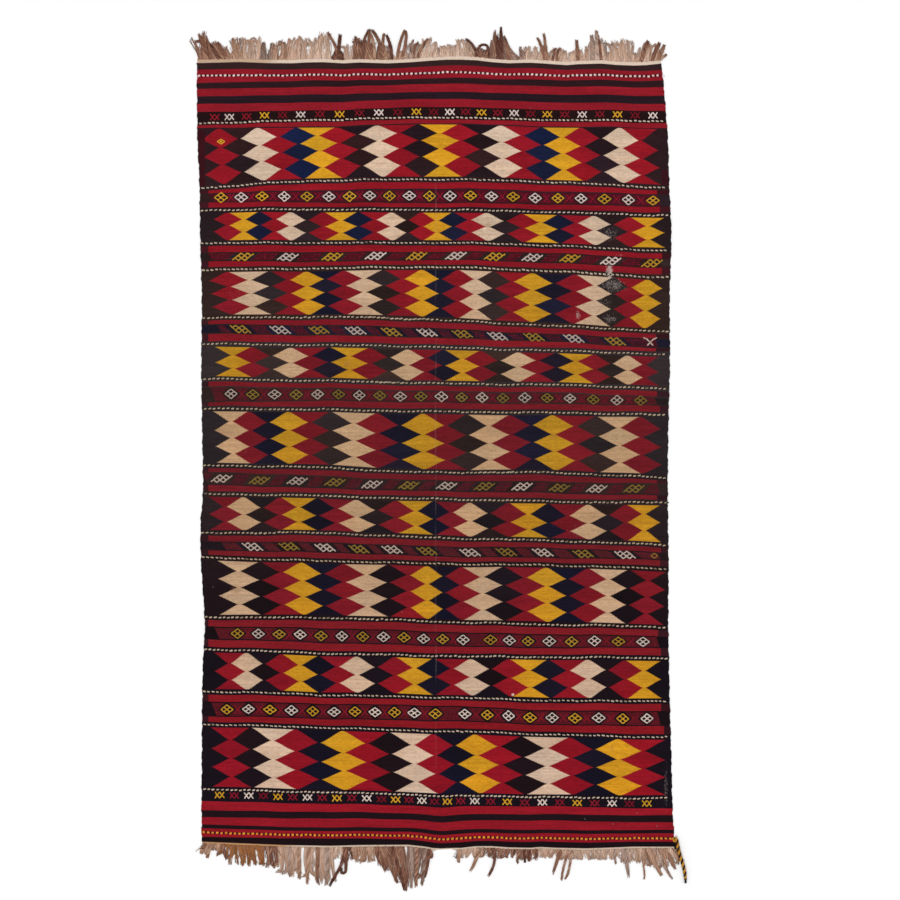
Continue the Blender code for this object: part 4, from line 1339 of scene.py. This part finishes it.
def ground_stitches(rng):
    """The crimson stitches that fill a narrow band's ground between its motifs."""
    found = []
    for border in BORDERS:
        top, bottom = downs_of(border.top), downs_of(border.bottom)
        columns = columns_of(border.places)
        clear = LOZENGE_CLEAR if border.motif == "lozenge" else LEANING_CLEAR
        for column in np.arange(border.reach[0] + 3, border.reach[1] - 2, GROUND_PITCH):
            if np.min(np.abs(columns - column)) < clear:
                continue
            across = across_of(column)
            high, low = float(line_at(top, across)) / PIXEL, float(line_at(bottom, across)) / PIXEL
            for row in np.arange(high + 2.4, low - 2.0, GROUND_ROW_PITCH):
                if rng.random() < 0.5:
                    continue
                found.append(laid(GROUND_STITCH, across_of(column + rng.uniform(-1, 1)),
                                  (row + rng.uniform(-0.5, 0.5)) * PIXEL, rng.uniform(5, 9), 1.0,
                                  rng.choice((-0.7, 0.7)), rng.uniform(0.6, 1.1)))
    return found


def end_down(end, across):
    """How far down the last woven line of one end lies."""
    return line_at(LINES[f"{end.name} edge"], across)


def web_width(end, across):
    """How wide the web is, which has worn away along a stretch of the foot end."""
    if not end.worn:
        return WEB_WIDTH + 0 * across
    wear = np.exp(-((across - WORN_ACROSS) / WORN_HALF_WIDTH) ** 4)
    return WEB_WIDTH - (WEB_WIDTH - WORN_WEB_WIDTH) * wear


def roots_out(end, across):
    """How far from the cloth's edge the strands come out of the web."""
    return np.minimum(end.roots, web_width(end, across) * MOST_ROOTS)


def curled(route, start, turn):
    """A route whose last stretch, past a share of its length, turns round more and more."""
    steps = np.diff(route, axis=0)
    t = np.linspace(0, 1, len(steps))
    angle = math.radians(turn) * np.clip((t - start) / (1 - start), 0, 1)
    turned = np.stack([steps[:, 0] * np.cos(angle) + steps[:, 1] * np.sin(angle),
                       steps[:, 1] * np.cos(angle) - steps[:, 0] * np.sin(angle)], 1)
    return np.concatenate([route[:1], route[:1] + np.cumsum(turned, axis=0)])


def lie_out(end, root, tip, tip_row, bow, sway):
    """A route on the floor from a root to a tip, in millimetres across and out from the cloth."""
    start = float(roots_out(end, root))
    reach = end.side * (float(end_down(end, root)) - down_of_row(tip_row))
    t = np.linspace(0, 1, ROUTE_POINTS)
    across = root + (tip - root) * t ** 1.15 + bow * np.sin(math.pi * t) + sway * t * np.sin(5 * t + sway)
    return np.stack([across, start + (max(reach, start + LEAST_REACH) - start) * t], 1)


def near_yarn(rng, yarn):
    """The tuft's own yarn, or now and then its neighbour in tone."""
    return NEIGHBOURS[yarn][int(rng.integers(2))] if rng.random() < 0.3 else yarn


class Fringe:
    """The warp ends of one end of the rug: strands that lie out from its cloth on the floor."""

    def __init__(self, end, seed, steps):
        self.end = end
        self.rng = np.random.default_rng(seed)
        self.shares = np.linspace(0, 1, steps)[None, :]
        self.paths = []
        self.radii = []
        self.tints = []

    def add(self, route, count, yarn, tone, stray, width=1.0, narrowing=0.0, twist=0.0, shortest=0.7,
            lift=2.2):
        """Strands that follow a route together. Its points are places across and out from the cloth."""
        rng = self.rng
        share = rng.uniform(shortest, 1.0, count)[:, None] * self.shares
        place = ((np.arange(count) + rng.uniform(0.1, 0.9, count)) / count - 0.5)[:, None]
        arch = np.sin(np.pi * np.clip(self.shares * 0.9 + 0.1, 0, 1))
        heap = rng.uniform(0.15, 1.0, (count, 1)) * lift * arch
        spread = place * width
        if twist:
            wound = math.tau * (twist * share + place)
            spread = width / 2 * np.cos(wound)
            heap = np.minimum(width / 4, MOST_TWIST_HEAP) * (1 + np.sin(wound)) * arch
        pace = rng.uniform(2.5, 8, (count, 1))
        wander = stray * share * np.sin(share * pace + rng.uniform(0, math.tau, (count, 1)))
        self.lay(route, share, spread * (1 - narrowing * share ** 0.7) + wander, heap)
        thick = STRAND_RADIUS * rng.uniform(0.7, 1.15, (count, 1))
        self.radii.append(thick * (1 - TIP_THINNING * self.shares ** 6))
        self.tint(count, yarn, tone)

    def lay(self, route, share, off, heap):
        """Strands beside a route: shares of the way along it, how far off it and how high."""
        along = np.gradient(route, axis=0)
        along /= np.maximum(np.linalg.norm(along, axis=1, keepdims=True), TINY)
        aside = np.stack([along[:, 1], -along[:, 0]], 1)
        at = np.linspace(0, 1, len(route))
        across, out = (np.interp(share, at, route[:, k]) + off * np.interp(share, at, aside[:, k])
                       for k in (0, 1))
        edge = end_down(self.end, across[:, :1])
        height = STRAND_RADIUS + np.minimum(heap, MOST_HEAP)
        self.paths.append(np.stack([across, edge - self.end.side * out, height], -1))

    def tint(self, count, yarn, tone):
        """Dyes the last strands, each a little darker and browner towards its tip. Their wide random spread
        of shade is partly real tone and partly painted highlight and painted shadow among the strands.
        """
        rng = self.rng
        # Random tone for each strand, spread wide so that it also paints highlights on some strands and
        # painted shadow in the gaps between them.
        shade = tone * rng.uniform(0.62, 1.32, (count, 1))
        shade = shade * (ROOT_SHADE - TIP_SHADE_LOSS * self.shares ** 2)
        browner = 1 - np.array(TIP_BROWNING) * self.shares[:, :, None] ** 2
        spun = np.array([linear(WARPS[near_yarn(rng, yarn)]) for _ in range(count)])[:, None, :]
        tint = np.ones((count, self.shares.size, 4))
        tint[..., :3] = spun * ALBEDO * browner * shade[..., None]
        tint[..., 3] = rng.random((count, 1))
        self.tints.append(tint)

    def piece(self, name, material):
        return tubes(name, np.concatenate(self.paths), np.concatenate(self.radii),
                     np.concatenate(self.tints), material, STRAND_SIDES)


def fringe_mass(end):
    """The dense mass of tufts and single strands."""
    fringe = Fringe(end, end.seed, STRAND_POINTS)
    rng = fringe.rng

    def route_in(clump, share, shortening, stray_lean):
        off = 2 * share - 1
        span = clump.end - clump.start
        column = clump.start + share * span
        edge_row = ZERO_ROW + float(end_down(end, across_of(column))) / PIXEL
        row = clump.row + clump.slope * off / 2
        kept = (1 - clump.point * abs(off) ** 1.5) * shortening
        tip = column + clump.lean - off * clump.gather * span / 2 + stray_lean
        return lie_out(end, across_of(column), across_of(tip), edge_row + (row - edge_row) * kept,
                       rng.normal(0, 3.6), rng.normal(0, 3.0))

    for clump in end.clumps:
        span = (clump.end - clump.start) * PIXEL
        count = max(round(span / TUFT_PITCH), 1)
        for k in range(count):
            route = route_in(clump, (k + 0.5) / count, rng.uniform(0.94, 1.06), rng.normal(0, 2.4))
            curl = rng.normal(0, 14)
            if rng.random() < CURLY_TUFTS:
                curl += rng.choice((-1, 1)) * rng.uniform(60, 150)
            route = curled(route, rng.uniform(0.5, 0.75), curl)
            fringe.add(route, TUFT_STRANDS, clump.yarn, narrowing=rng.uniform(0.0, 0.55),
                       stray=rng.uniform(1.5, 4.5), tone=rng.uniform(0.9, 1.1),
                       width=span / count * TUFT_OVERLAP, shortest=0.86)
        for k in range(int(span / STRAY_PITCH)):
            route = route_in(clump, rng.random(), rng.uniform(0.5, 1.02), rng.normal(0, 3.4))
            curly = rng.random() < CURLY_STRAYS
            turn = rng.choice((-1, 1)) * rng.uniform(120, 260) if curly else rng.normal(0, 40)
            fringe.add(curled(route, 0.78, turn), 1, clump.yarn, rng.uniform(0.85, 1.15), stray=2.6,
                       lift=3.4)
    return fringe


def single_locks(end):
    """The long twisted locks, each given one by one."""
    fringe = Fringe(end, end.seed + 7, LOCK_POINTS)
    for lock in end.locks:
        route = lie_out(end, across_of(lock.root), across_of(lock.tip_column), lock.tip_row,
                        lock.bow * PIXEL, 0.0)
        width = lock.width * PIXEL
        winding = LOOSE if lock.width >= WIDE_LOCK else TIGHT
        fringe.add(curled(route, 0.7, lock.curl), max(round(width * STRANDS_PER_WIDTH), LEAST_STRANDS),
                   lock.yarn, fringe.rng.uniform(0.85, 1.05), stray=0.9, width=width,
                   narrowing=winding.narrowing, twist=route[-1, 1] / winding.turn,
                   shortest=winding.shortest)
    return fringe


def make_web(end, material):
    """The narrow plain-woven web beyond the last weft line: one strip with a ragged outer edge."""
    down = 0 if end.side > 0 else WOVEN_LENGTH
    left, right = float(selvedge(down, "left")) + 1, float(selvedge(down, "right")) - 1
    across = np.concatenate([[left], np.arange(left + 3, right - 2, WEB_STEP), [right]])
    edge = end_down(end, across)
    rng = np.random.default_rng(WEB_SEED)
    ragged = np.interp(across, np.linspace(left, right, WEB_RAGS), rng.normal(0, 1.1, WEB_RAGS))
    width = np.minimum(roots_out(end, across) + WEB_OVERLAP, web_width(end, across)) + ragged
    section = WEB_SECTION + tuple((share, WEB_UNDERSIDE) for share, _ in WEB_SECTION[::-1])
    rows = [world(across, edge - end.side * width * share, height + 0 * across)
            for share, height in section]
    faces = tube_faces(len(across), len(rows))
    if end.side < 0:
        faces = faces[:, ::-1]
    corners = across[faces // len(rows)].ravel()
    marks = [mark for tone in end.web for mark in (tone.start, tone.end)]
    dyes = np.repeat([linear(WARPS[tone.yarn]) * ALBEDO for tone in end.web], 2, axis=0)
    tint = np.ones((len(corners), 4))
    for channel in range(3):
        tint[:, channel] = np.interp(corners, marks, dyes[:, channel])
    return mesh_object(f"web_{end.name}", np.stack(rows, 1).reshape(-1, 3), faces, material, tint)


# ---- the corner tail ----
def make_tail(material):
    """The two plies of the tail, wound round each other along its route."""
    start = selvedge(TAIL_START_DOWN, "right") + TAIL_STAND_OFF + TAIL_RADIUS
    route = np.array([(start + x, TAIL_START_DOWN + y, TAIL_RADIUS) for x, y in TAIL_ROUTE], float)
    lengths = np.concatenate([[0], np.cumsum(np.linalg.norm(np.diff(route, axis=0), axis=1))])
    at = np.linspace(0, lengths[-1], TAIL_POINTS)
    line = np.stack([smooth_between(lengths, route[:, axis], at) for axis in range(3)], 1)
    along = np.gradient(line, axis=0)
    along /= np.linalg.norm(along, axis=1, keepdims=True)
    aside = np.stack([along[:, 1], -along[:, 0], 0 * at], 1)
    share = at / at[-1]
    taper = 1 - (1 - TAIL_TIP_SHARE) * np.clip((share - TAIL_TAPERS_AT) / (1 - TAIL_TAPERS_AT), 0, 1)
    dark = np.clip((share - TAIL_DARKENS_AT) / TAIL_DARKENS_OVER, 0, 1)[:, None]
    paths, radii, tints = [], [], []
    for ply, (yarn, ply_share) in enumerate(PLIES):
        turn = math.tau * (at / TAIL_TURN + ply / len(PLIES))
        swing = TAIL_RADIUS * (1 - ply_share) * taper
        path = line + aside * (swing * np.cos(turn))[:, None]
        path[:, 2] += swing * np.sin(turn)
        paths.append(path)
        radii.append(TAIL_RADIUS * ply_share * taper)
        tint = np.ones((len(at), 4))
        tint[:, :3] = (faded(YARNS[yarn], TAIL_START_DOWN) * (1 - dark)
                       + faded(YARNS["coal"], TAIL_START_DOWN) * dark)
        tint[:, 3] = ply / len(PLIES)
        tints.append(tint)
    tail = tubes("corner_tail_plies", paths, radii, tints, material, TAIL_SIDES)
    return tail, world(line[:, 0], line[:, 1], line[:, 2]), lengths[-1] * MM


# ---- materials ----
class Recipe:
    """A material's node tree, with short ways to add nodes."""

    def __init__(self, name):
        self.material = bpy.data.materials.new(name)
        self.material.use_nodes = True
        self.tree = self.material.node_tree
        self.shader = self.tree.nodes["Principled BSDF"]
        self.coordinates = self.tree.nodes.new("ShaderNodeTexCoord").outputs["Object"]

    def put(self, value, socket):
        if isinstance(value, bpy.types.NodeSocket):
            self.tree.links.new(value, socket)
        else:
            socket.default_value = value

    def node(self, kind, inputs=(), **settings):
        """A node with the given settings, and its inputs filled in."""
        made = self.tree.nodes.new(kind)
        for name, value in settings.items():
            setattr(made, name, value)
        for name, value in dict(inputs).items():
            self.put(value, made.inputs[name])
        return made

    def math(self, operation, a, b=0.0):
        return self.node("ShaderNodeMath", {0: a, 1: b}, operation=operation).outputs[0]

    def noise(self, scale, detail=2.0, roughness=0.5, seed=0.0, stretch=(1, 1, 1)):
        stretched = self.node("ShaderNodeMapping", {"Vector": self.coordinates, "Scale": stretch})
        return self.node("ShaderNodeTexNoise", {
            "Vector": stretched.outputs[0], "W": seed, "Scale": scale, "Detail": detail,
            "Roughness": roughness}, noise_dimensions="4D").outputs["Fac"]

    def waves(self, direction, pitch, distortion, detail_scale=1.0):
        """Ridges a pitch apart, from 0 to 1."""
        return self.node("ShaderNodeTexWave", {
            "Vector": self.coordinates, "Scale": math.tau / 20 / pitch, "Distortion": distortion,
            "Detail Scale": detail_scale}, bands_direction=direction).outputs["Fac"]

    def mapped(self, value, low, high, to_low, to_high, kind="LINEAR"):
        return self.node("ShaderNodeMapRange", {
            "Value": value, "From Min": low, "From Max": high, "To Min": to_low, "To Max": to_high},
            interpolation_type=kind).outputs[0]

    def mix(self, share, a, b, blend="MIX"):
        return self.node("ShaderNodeMix", {"Factor": share, "A": a, "B": b}, data_type="RGBA",
                         blend_type=blend).outputs["Result"]

    def scaled(self, colour, value):
        """A colour made lighter or darker by a number."""
        return self.node("ShaderNodeVectorMath", {0: colour, "Scale": value}, operation="SCALE").outputs[0]

    def bump(self, height, distance, strength, normal=None):
        made = self.node("ShaderNodeBump", {"Strength": strength, "Distance": distance, "Height": height})
        if normal is not None:
            self.put(normal, made.inputs["Normal"])
        return made.outputs[0]

    def finish(self, colour, roughness, normal, sheen):
        looks = {"Base Color": colour, "Roughness": roughness, "Normal": normal, "Sheen Weight": sheen,
                 "Specular IOR Level": WOOL_SPECULAR, "Sheen Roughness": SHEEN_ROUGHNESS}
        for name, value in looks.items():
            self.put(value, self.shader.inputs[name])
        return self.material

    def dyed(self, seed_scale):
        """The colours that a piece's corners keep, and the seed of each stitch, strand or outline."""
        kept = self.node("ShaderNodeAttribute", attribute_name="dye")
        return kept.outputs["Color"], self.math("MULTIPLY", kept.outputs["Alpha"], seed_scale)

    def shaded(self, colour, seed, tones):
        """A colour made uneven by several noises, some of them drawn anew for each seed."""
        value = 1.0
        for tone in tones:
            own = seed if tone.own else 0.0
            noise = self.noise(tone.scale, tone.detail, tone.roughness, own, tone.stretch)
            value = self.math("MULTIPLY", value, self.mapped(noise, *tone.between, *tone.shades))
        return self.scaled(colour, value)


def distance_from(r, x, y, column, row, half_width, half_height):
    """How far a point lies from a place on the rug, in shares of an oval about it."""
    centre = world(across_of(column), down_of_row(row), 0)
    dx = r.math("DIVIDE", r.math("SUBTRACT", x, float(centre[0])), half_width * PIXEL * MM)
    dy = r.math("DIVIDE", r.math("SUBTRACT", y, float(centre[1])), half_height * PIXEL * MM)
    return r.math("SQRT", r.math("ADD", r.math("MULTIPLY", dx, dx), r.math("MULTIPLY", dy, dy)))


def rubbed(r, colour, x, y, flecks, lumps):
    """Pale warps that show in specks where the cloth is rubbed thin."""
    ragged = r.math("ADD", r.math("MULTIPLY", flecks, 0.7), r.math("MULTIPLY", lumps, 0.3))
    for spot in WORN_SPOTS:
        reach = distance_from(r, x, y, spot.column, spot.row, spot.half_width, spot.half_height)
        near = r.mapped(reach, 0.3, 1.15, spot.amount, 0.0)
        bare = r.mapped(r.math("ADD", r.math("MULTIPLY", near, 0.3), ragged), 0.66, 0.76, 0.0, spot.cover)
        bare = r.math("MULTIPLY", bare, r.mapped(near, 0.02, 0.06, 0.0, 1.0))
        colour = r.mix(bare, colour, PALE_WARP)
    return colour


def stained(r, colour, x, y, lumps):
    for stain in STAINS:
        reach = distance_from(r, x, y, stain.column, stain.row, stain.radius, stain.radius)
        inside = r.mapped(reach, 0.2, 1.0, 0.5, 0.0, "SMOOTHSTEP")
        colour = r.mix(r.math("MULTIPLY", inside, lumps), colour, STAIN_BROWN)
    return colour


def creased(r, colour, x, y, flecks):
    """The rubbed line of the middle fold, which wanders a little and comes and goes."""
    crease_x = float(world(across_of(CREASE_COLUMN), 0.0, 0.0)[0])
    wander = r.math("MULTIPLY", r.math("SUBTRACT", r.noise(3, 2), 0.5), CREASE_WANDER)
    off = r.math("ABSOLUTE", r.math("SUBTRACT", r.math("ADD", x, wander), crease_x))
    crease = r.mapped(off, 0.0, CREASE_HALF_WIDTH, 0.3, 0.0)
    crease = r.math("MULTIPLY", crease, r.mapped(flecks, 0.42, 0.6, 0.1, 1.0))
    crease = r.math("MULTIPLY", crease, r.mapped(r.noise(5, 3), 0.42, 0.6, 0.0, 0.8))
    ends = r.mapped(r.math("ABSOLUTE", y), 1.0, 1.2, 1.0, 0.0)
    return r.mix(r.math("MULTIPLY", crease, ends), colour, CREASE_GREY)


def flatweave():
    """Weft-faced wool: fine ribs along the warps, streaks of uneven dye, wear and a little lint."""
    r = Recipe("flatwoven_wool")
    dye, seed = r.dyed(40.0)
    colour = r.shaded(dye, seed, CLOTH_TONES)
    tan_share = r.mapped(r.noise(22, 3, 0.6, seed), 0.42, 0.75, 0.0, 0.45)
    colour = r.mix(tan_share, colour, TAN_TINT, "MULTIPLY")

    position = r.node("ShaderNodeSeparateXYZ", {0: r.coordinates})
    x, y = position.outputs[0], position.outputs[1]
    flecks = r.noise(1.0, 3, 0.7, stretch=(330, 250, 0))
    lumps = r.noise(130, 2, 0.6)
    colour = rubbed(r, colour, x, y, flecks, lumps)
    colour = stained(r, colour, x, y, lumps)
    colour = creased(r, colour, x, y, flecks)
    specks = r.mapped(r.noise(1.0, 2, 0.6, stretch=(210, 330, 0)), 0.745, 0.81, 0.0, 0.5)
    colour = r.mix(specks, colour, LINT_GREY)

    warps = r.waves("X", WARP_PITCH, 1.4, 0.6)
    wefts = r.waves("Y", WEFT_PITCH, 1.0)
    fibre = r.noise(1.0, 2, 0.6, stretch=FIBRE_STRETCH)
    relief = r.math("ADD", r.math("MULTIPLY", warps, 0.7), r.math("MULTIPLY", wefts, 0.3))
    relief = r.math("ADD", relief, r.math("MULTIPLY", fibre, 0.4))
    normal = r.bump(relief, 0.0005, 0.6)
    normal = r.bump(r.noise(26, 3, 0.55), 0.004, 0.35, normal)
    rough = r.mapped(r.noise(MOTTLE_SCALE, 3, 0.65), 0.3, 0.7, 0.86, 0.97)
    return r.finish(colour, rough, normal, WOOL_SHEEN)


def yarn_wool(name):
    """Spun wool yarn: a fine twist, loose fibres and uneven dye."""
    r = Recipe(name)
    dye, seed = r.dyed(30.0)
    colour = r.shaded(dye, seed, YARN_TONES)
    twist = r.waves("DIAGONAL", YARN_TWIST, 1.2)
    relief = r.math("ADD", twist, r.math("MULTIPLY", r.noise(1400, 2), 0.6))
    rough = r.mapped(r.noise(700, 2), 0.3, 0.7, 0.84, 0.96)
    return r.finish(colour, rough, r.bump(relief, 0.0004, 0.6), WOOL_SHEEN)


def pale_floor():
    r = Recipe("pale_floor")
    colour = r.mix(r.noise(1.5, 2), *FLOOR_GREYS)
    return r.finish(colour, 0.9, r.bump(r.noise(60, 2), 0.0005, 0.1), 0.0)


# ---- stage, light and camera ----
def make_stage():
    bpy.ops.mesh.primitive_plane_add(size=FLOOR_SIZE, location=(0, 0, -FLOOR_DROP))
    floor = bpy.context.object
    floor.name = "studio_floor"
    floor.data.materials.append(pale_floor())
    room = bpy.data.worlds.new("soft_room")
    bpy.context.scene.world = room
    room.use_nodes = True
    background = room.node_tree.nodes["Background"]
    background.inputs["Color"].default_value = (1.0, 1.0, 1.0, 1)
    background.inputs["Strength"].default_value = ROOM_LIGHT
    for name, turn, strength, spread in LAMPS:
        lamp = bpy.data.lights.new(name, "SUN")
        lamp.energy = strength
        lamp.angle = math.radians(spread)
        thing = bpy.data.objects.new(name, lamp)
        thing.rotation_euler = [math.radians(v) for v in turn]
        bpy.context.scene.collection.objects.link(thing)


def make_camera():
    """Straight above the photograph's middle, so that one pixel covers PIXEL of cloth."""
    centre = IMAGE_SIDE / 2
    spot = world(across_of(centre), down_of_row(centre), 3.0)
    data = bpy.data.cameras.new("camera")
    data.sensor_width = SENSOR
    data.lens = SENSOR * CAMERA_HEIGHT / (IMAGE_SIDE * PIXEL * MM)
    data.clip_end = 100
    camera = bpy.data.objects.new("camera", data)
    camera.location = (spot[0], spot[1], spot[2] + CAMERA_HEIGHT)
    bpy.context.scene.collection.objects.link(camera)
    bpy.context.scene.camera = camera


def put_on(piece, slot, *nodes):
    """A finished piece rides on the rug, and stands for the solids that it replaces."""
    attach(piece, "root")
    if nodes:
        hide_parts(*nodes)


def main():
    bpy.context.scene.view_settings.view_transform = "Standard"
    make_camera()
    make_stage()

    tail, path, length = make_tail(yarn_wool("tail_yarn"))
    put_on(tail, "plied_wool", "corner_tail")

    cloth = make_cloth(flatweave())
    put_on(cloth, "woven_wool", "kilim_field")

    stitch_wool = yarn_wool("stitch_wool")
    rng = random.Random(STITCH_SEED)
    small = twine_stitches(rng) + bead_stitches(rng) + lint_stitches(rng)
    pieces_on = [make_stitches("twined_lines", small, stitch_wool, sides=5),
                 make_stitches("brocade_motifs", brocade_stitches(rng), stitch_wool, sides=5),
                 make_stitches("ground_brocade", ground_stitches(rng), stitch_wool, sides=4)]
    for piece in pieces_on:
        put_on(piece, "woven_wool")

    warp_wool = yarn_wool("warp_yarn")
    for end in (HEAD, FOOT):
        mass = fringe_mass(end).piece(f"fringe_{end.name}_yarns", warp_wool)
        put_on(mass, "warp_wool", f"fringe_{end.name}")
        long_locks = single_locks(end).piece(f"{end.name}_locks", warp_wool)
        web = make_web(end, warp_wool)
        for piece in (long_locks, web):
            put_on(piece, "warp_wool")
        pieces_on += [mass, long_locks, web]


main()
